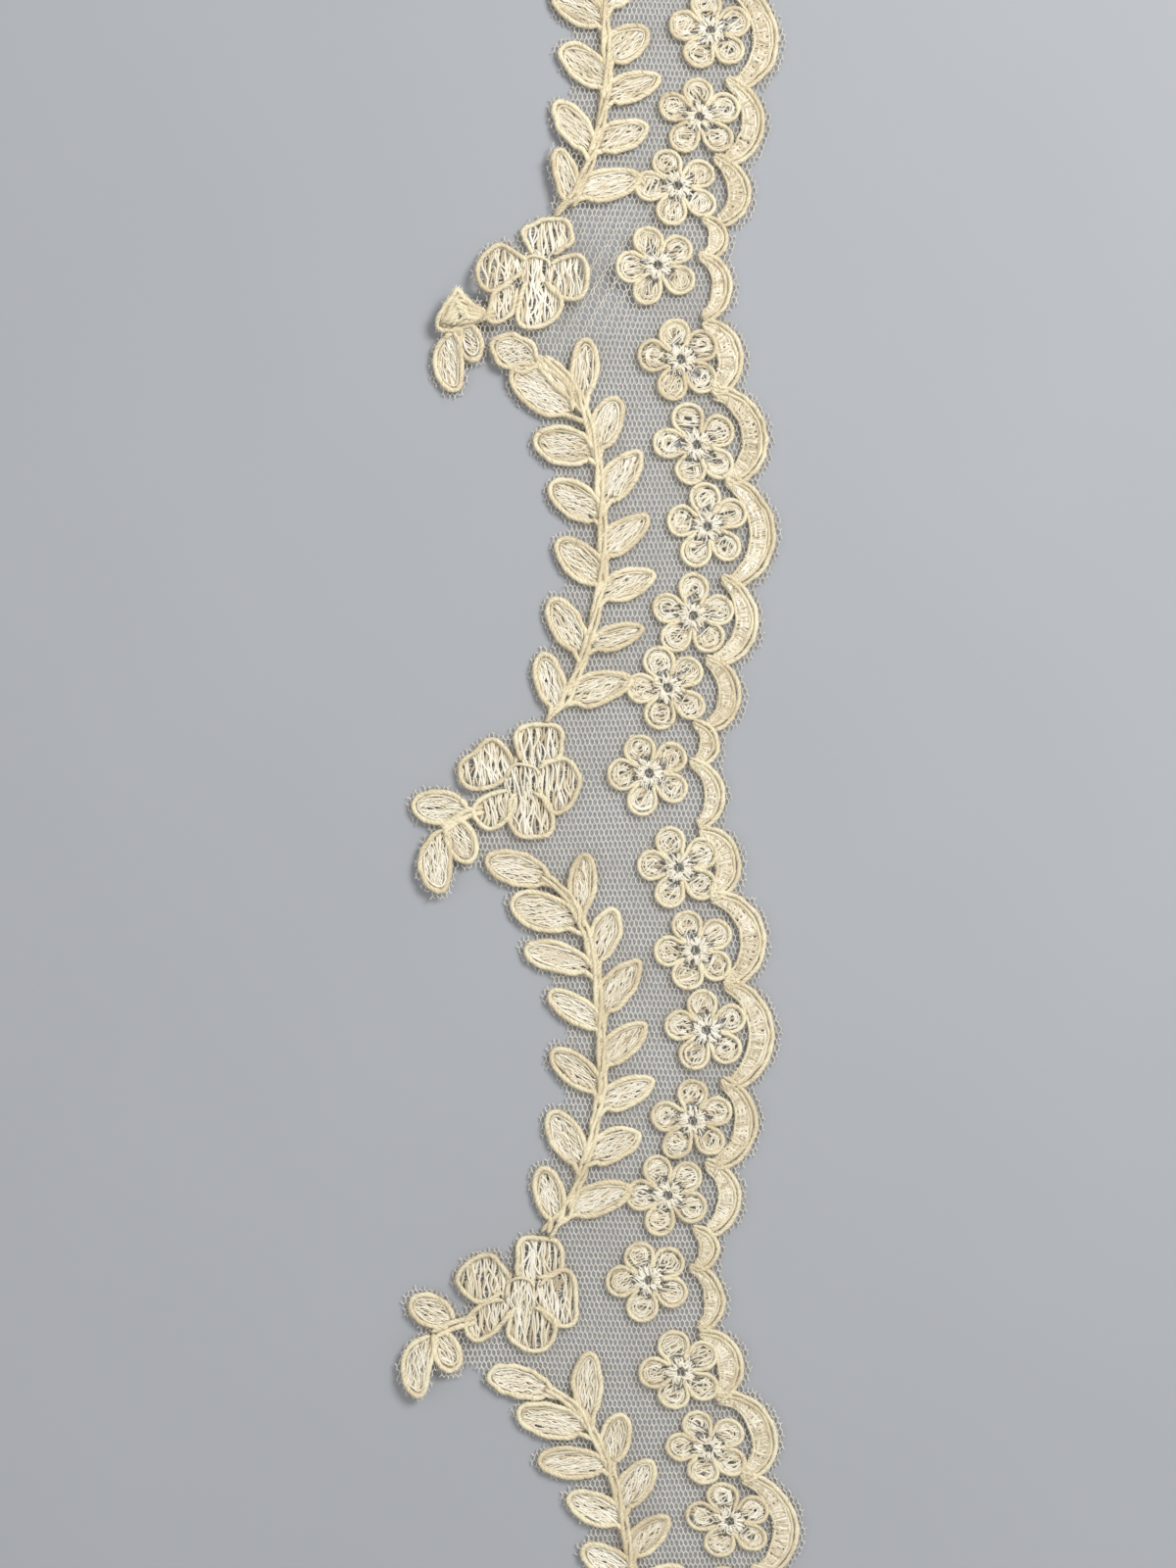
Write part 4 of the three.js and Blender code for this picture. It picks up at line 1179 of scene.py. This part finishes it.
# Net: hexagonal mesh, trimmed round the embroidery with frayed ends
net = {
    "across": 0.845,  # pitch of the cells
    "rows": 1.115,
    "upright": 0.55,  # share of a row taken by the upright sides
    "columns": 106,  # half columns to each side
    "half": 0.1,  # half size of a thread
    "halves": (0.85, 1.15),
    "uprightSize": 1.1,
    "slantSize": 0.95,
    "height": 0.5,
    "sag": 0.09,
    "sagWaves": (3.1, 4.3),  # across and along
    "bends": (0.7, 0.5),  # how far slower waves bend those
    "bendWaves": (5, 7),
    "under": 0.4,  # inside this edge of a motif it is sparse
    "margin": 1.1,  # beyond the scallops
    "outerMargin": 0.6,  # beyond the leaves, cut closer
    "trimAt": 0.7,  # part of a leaf that the band between the motifs takes in
    "bandPoints": 12,
    "frayed": (0.25, 1.15),  # length of a cut thread, in shares of a side
    "frayedShare": 0.8,
    "stray": 0.045,
    "drift": 0.22,
    "columnWaves": (9, 23),  # in the columns, along and across
    "slowWave": 31,
    "slowShare": 0.6,
    "rowWaves": (8, 27),  # in the rows, across and along
    "edgePetals": (1, 5),  # those of a spray that the band between the motifs reaches
    "edgeLeaflets": (2, 1),
    "areaHalf": 45,  # half width of the grid that measures the area
    "areaStep": 0.5,
}
gather = {
    "fold": 0,  # row of the fold where the net is gathered
    "reach": 1.3,
    "spread": 1.5,
    "wave": 2.6,
    "pull": 0.3,
    "height": 0.35,
}


def netShapes():
    # grown outlines of the motifs with the band between them, and what the motifs hide
    shapes, hidden, outerEdge, innerEdge = [], [], [], []
    for repeat in range(strip["repeats"]):
        lay = partial(layIn, repeat)
        leaves = leavesOf(repeat)
        outerEdge += [lay(leafMark(row)) for row in outerLeafRows]
        if hasSpray(repeat):
            petals, leaflets = sprayRows[repeat]["petals"], sprayRows[repeat]["leaflets"]
            outerEdge += [lay(spot(petals[k])) for k in net["edgePetals"]]
            outerEdge += [lay(leafMark(leaflets[k])) for k in net["edgeLeaflets"]]
            leaves += list(leaflets)
            shapes += [lay(drawnIn(petalOutline(row), -net["outerMargin"])) for row in petals]
            hidden += [lay(drawnIn(petalOutline(row), net["under"])) for row in petals]
        shapes += [lay(leafOutline(row, -net["outerMargin"])) for row in leaves]
        hidden += [lay(leafOutline(row, net["under"])) for row in leaves]
        for row in flowerRows:
            for angle in flowerPetals(row):
                hidden.append(lay(petalLoop(angle, flower["fill"]) + spot(row)))
        for row in scallopRows:
            innerEdge.append(lay((spot(row, "from") + spot(row, "bulge")) / 2))
            if kept(repeat, spot(row, "bulge")):
                shares = np.linspace(0, 1, net["bandPoints"])
                edge, out = scallopArc(row, shares)
                inner = edge - out * (scallopWidth(row, shares)[:, None] - net["under"])
                shapes.append(lay(np.concatenate([edge + out * net["margin"], inner[::-1]])))
                hidden.append(lay(np.concatenate([edge - out * net["under"], inner[::-1]])))
    return [np.array(outerEdge + innerEdge[::-1])] + shapes, hidden


def leafMark(row):
    return spot(row, "foot") + (spot(row, "tip") - spot(row, "foot")) * net["trimAt"]


netOutlines, netHidden = netShapes()


def inAny(places, outlines):
    inside = np.zeros(len(places), bool)
    for shape in outlines:
        near = np.all((places > shape.min(axis=0)) & (places < shape.max(axis=0)), axis=1)
        x, y = places[near].T
        within = np.zeros(len(x), bool)
        for a, b in zip(shape, np.roll(shape, -1, axis=0)):
            passed = (a[1] > y) != (b[1] > y)
            within ^= passed & (x < a[0] + (b[0] - a[0]) * (y - a[1]) / (b[1] - a[1] + laying["tiny"]))
        inside[near] |= within
    return inside


def onNet(places):
    return inAny(places, netOutlines) & uncut(places)


def gathered(places):
    # how far across the gather, in waves, how strong it is there, and its way across
    row = foldRows[gather["fold"]]
    turn = math.radians(row["turn"])
    along, across = inFold(places, gather["fold"])
    reach, spread = gather["reach"] * row["reach"], gather["spread"] * row["spread"]
    strength = np.exp(-0.5 * ((along / reach) ** 2 + (across / spread) ** 2))
    return 2 * np.pi * across / gather["wave"], strength, np.array([-math.sin(turn), math.cos(turn)])


def netHeight(places):
    # slow waves that are bent by slower ones, so that they don't line up
    x, y = places[..., 0], places[..., 1]
    waveX, waveY = net["sagWaves"]
    bendX, bendY = net["bends"]
    slowX, slowY = net["bendWaves"]
    sag = np.sin(x / waveX + bendX * np.sin(y / slowY)) * np.sin(y / waveY + bendY * np.sin(x / slowX))
    wave, strength, _ = gathered(places)
    raised = gather["height"] * strength * np.maximum(0, np.sin(wave))
    return net["height"] + net["sag"] * sag + raised + liftAt(places)


def drifted(x, y):
    # columns and rows that don't run quite straight
    along, across = net["columnWaves"]
    aside = np.sin(y / along + x / across) + net["slowShare"] * np.sin(y / net["slowWave"])
    across, along = net["rowWaves"]
    ahead = np.sin(x / across - y / along)
    return np.stack([x, y], -1) + net["drift"] * np.stack([aside, ahead], -1)


def makeNet():
    columns = np.arange(-net["columns"], net["columns"] + 1)
    rows = np.arange(round(-cutAt / net["rows"]) - 1, round(cutAt / net["rows"]) + 2)
    c, j = np.meshgrid(columns, rows, indexing="ij")
    knots = []
    for end in (-1, 1):
        x = c * net["across"] / 2
        y = j * net["rows"] + end * net["upright"] * net["rows"] / 2
        knot = drifted(x, y) + rng.normal(0, net["stray"], c.shape + (2,))
        wave, strength, across = gathered(knot)
        knots.append(knot + gather["pull"] * (strength * np.cos(wave))[..., None] * across)
    foot, head = knots
    even = (c + j) % 2 == 0
    inner = even[1:-1, :-1]
    slants = head[1:-1, :-1][inner]
    crossing = j[1:-1, :-1][inner] % 2 == 0
    groups = (  # the upright sides of the cells, then the slanted ones
        (foot[even], head[even], np.zeros(even.sum(), bool), net["uprightSize"]),
        (slants, foot[2:, 1:][inner], crossing, net["slantSize"]),
        (slants, foot[:-2, 1:][inner], crossing, net["slantSize"]),
    )
    parts = []
    for starts, ends, always, size in groups:
        seen = always | ~inAny((starts + ends) / 2, netHidden)
        starts, ends = starts[seen], ends[seen]
        startsOn, endsOn = onNet(starts), onNet(ends)
        starts, ends = np.where(startsOn[:, None], starts, ends), np.where(startsOn[:, None], ends, starts)
        whole = startsOn & endsOn
        frayed = startsOn != endsOn
        reach = np.where(whole, 1, rng.uniform(*net["frayed"], len(starts)))[:, None]
        ends = starts + (ends - starts) * reach
        shown = whole | (frayed & uncut(ends) & (rng.random(len(starts)) < net["frayedShare"]))
        starts, ends = starts[shown], ends[shown]
        lines = np.empty((len(starts), 2, 3))
        lines[:, 0, :2], lines[:, 1, :2] = starts, ends
        lines[..., 2] = netHeight(lines[..., :2])
        thick = net["half"] * size * rng.uniform(*net["halves"], (len(starts), 1))
        parts.append(sweep(lines, thick, thick, sections["floss"], capped=False))
    return parts


netPiece = addPiece("netGround", makeNet(), netMaterial, ["net_ground"])
areaStep = net["areaStep"]
gridX = np.arange(-net["areaHalf"], net["areaHalf"], areaStep)
gridX, gridY = np.meshgrid(gridX, np.arange(areaStep / 2 - cutAt, cutAt, areaStep))
spots = np.stack([gridX.ravel(), gridY.ravel()], -1)
covered = spots[onNet(spots)]


# Studio: a plain pale table, soft light from the upper right, the camera straight above
studio = {
    "tableSize": 12.0,
    "tableColor": (0.42, 0.435, 0.46),
    "tableTones": (0.97, 1.03),  # of its faint mottle
    "tableScale": 14,
    "tableRoughness": 0.85,
    "tableGloss": 0.15,
    "keyAt": (0.42, 0.36, 0.62),
    "keySize": 0.3,
    "keyPower": 5.2,
    "fillAt": (-0.6, -0.2, 0.7),
    "fillSize": 0.9,
    "fillPower": 1.6,
    "skyStrength": 0.42,
    "eyeHeight": 0.45,
    "shown": 0.2857,  # length of the strip in the picture
    "sensor": 36,
    "clipStart": 0.01,
}


def makeTable():
    bpy.ops.object.select_all(action="DESELECT")
    bpy.ops.mesh.primitive_plane_add(size=studio["tableSize"])
    table = bpy.context.object
    table.name = "table"
    material, shader = newMaterial("paleTable", {
        "Roughness": studio["tableRoughness"], "Specular IOR Level": studio["tableGloss"]})
    places = addNode(material, "ShaderNodeTexCoord")
    mottle = addNode(material, "ShaderNodeTexNoise", {"Scale": studio["tableScale"]})
    ramp = addNode(material, "ShaderNodeValToRGB")
    for end, tone in zip(ramp.color_ramp.elements, studio["tableTones"]):
        end.color = (*(tone * part for part in studio["tableColor"]), 1)
    joinNodes(
        material,
        (places, "Object", mottle, "Vector"),
        (mottle, "Fac", ramp, "Fac"),
        (ramp, "Color", shader, "Base Color"),
    )
    table.data.materials.append(material)


def addLamp(name, at, size, power):
    bpy.ops.object.light_add(type="AREA", location=at)
    lamp = bpy.context.object
    lamp.name = name
    lamp.data.size = size
    lamp.data.energy = power
    lamp.rotation_euler = (-lamp.location).to_track_quat("-Z", "Y").to_euler()


def makeSky():
    sky = bpy.data.worlds.new("sky")
    sky.use_nodes = True
    sky.node_tree.nodes["Background"].inputs["Color"].default_value = (1, 1, 1, 1)
    sky.node_tree.nodes["Background"].inputs["Strength"].default_value = studio["skyStrength"]
    bpy.context.scene.world = sky


def makeCamera():
    at = (strip["acrossShift"] * mm, 0, studio["eyeHeight"])
    bpy.ops.object.camera_add(location=at, rotation=(0, 0, 0))
    camera = bpy.context.object
    camera.data.sensor_width = studio["sensor"]
    camera.data.lens = studio["sensor"] * studio["eyeHeight"] / studio["shown"]
    camera.data.clip_start = studio["clipStart"]
    bpy.context.scene.camera = camera


makeTable()
addLamp("keyLamp", studio["keyAt"], studio["keySize"], studio["keyPower"])
addLamp("fillLamp", studio["fillAt"], studio["fillSize"], studio["fillPower"])
makeSky()
makeCamera()
bpy.context.scene.view_settings.view_transform = "Standard"
print("studio set")
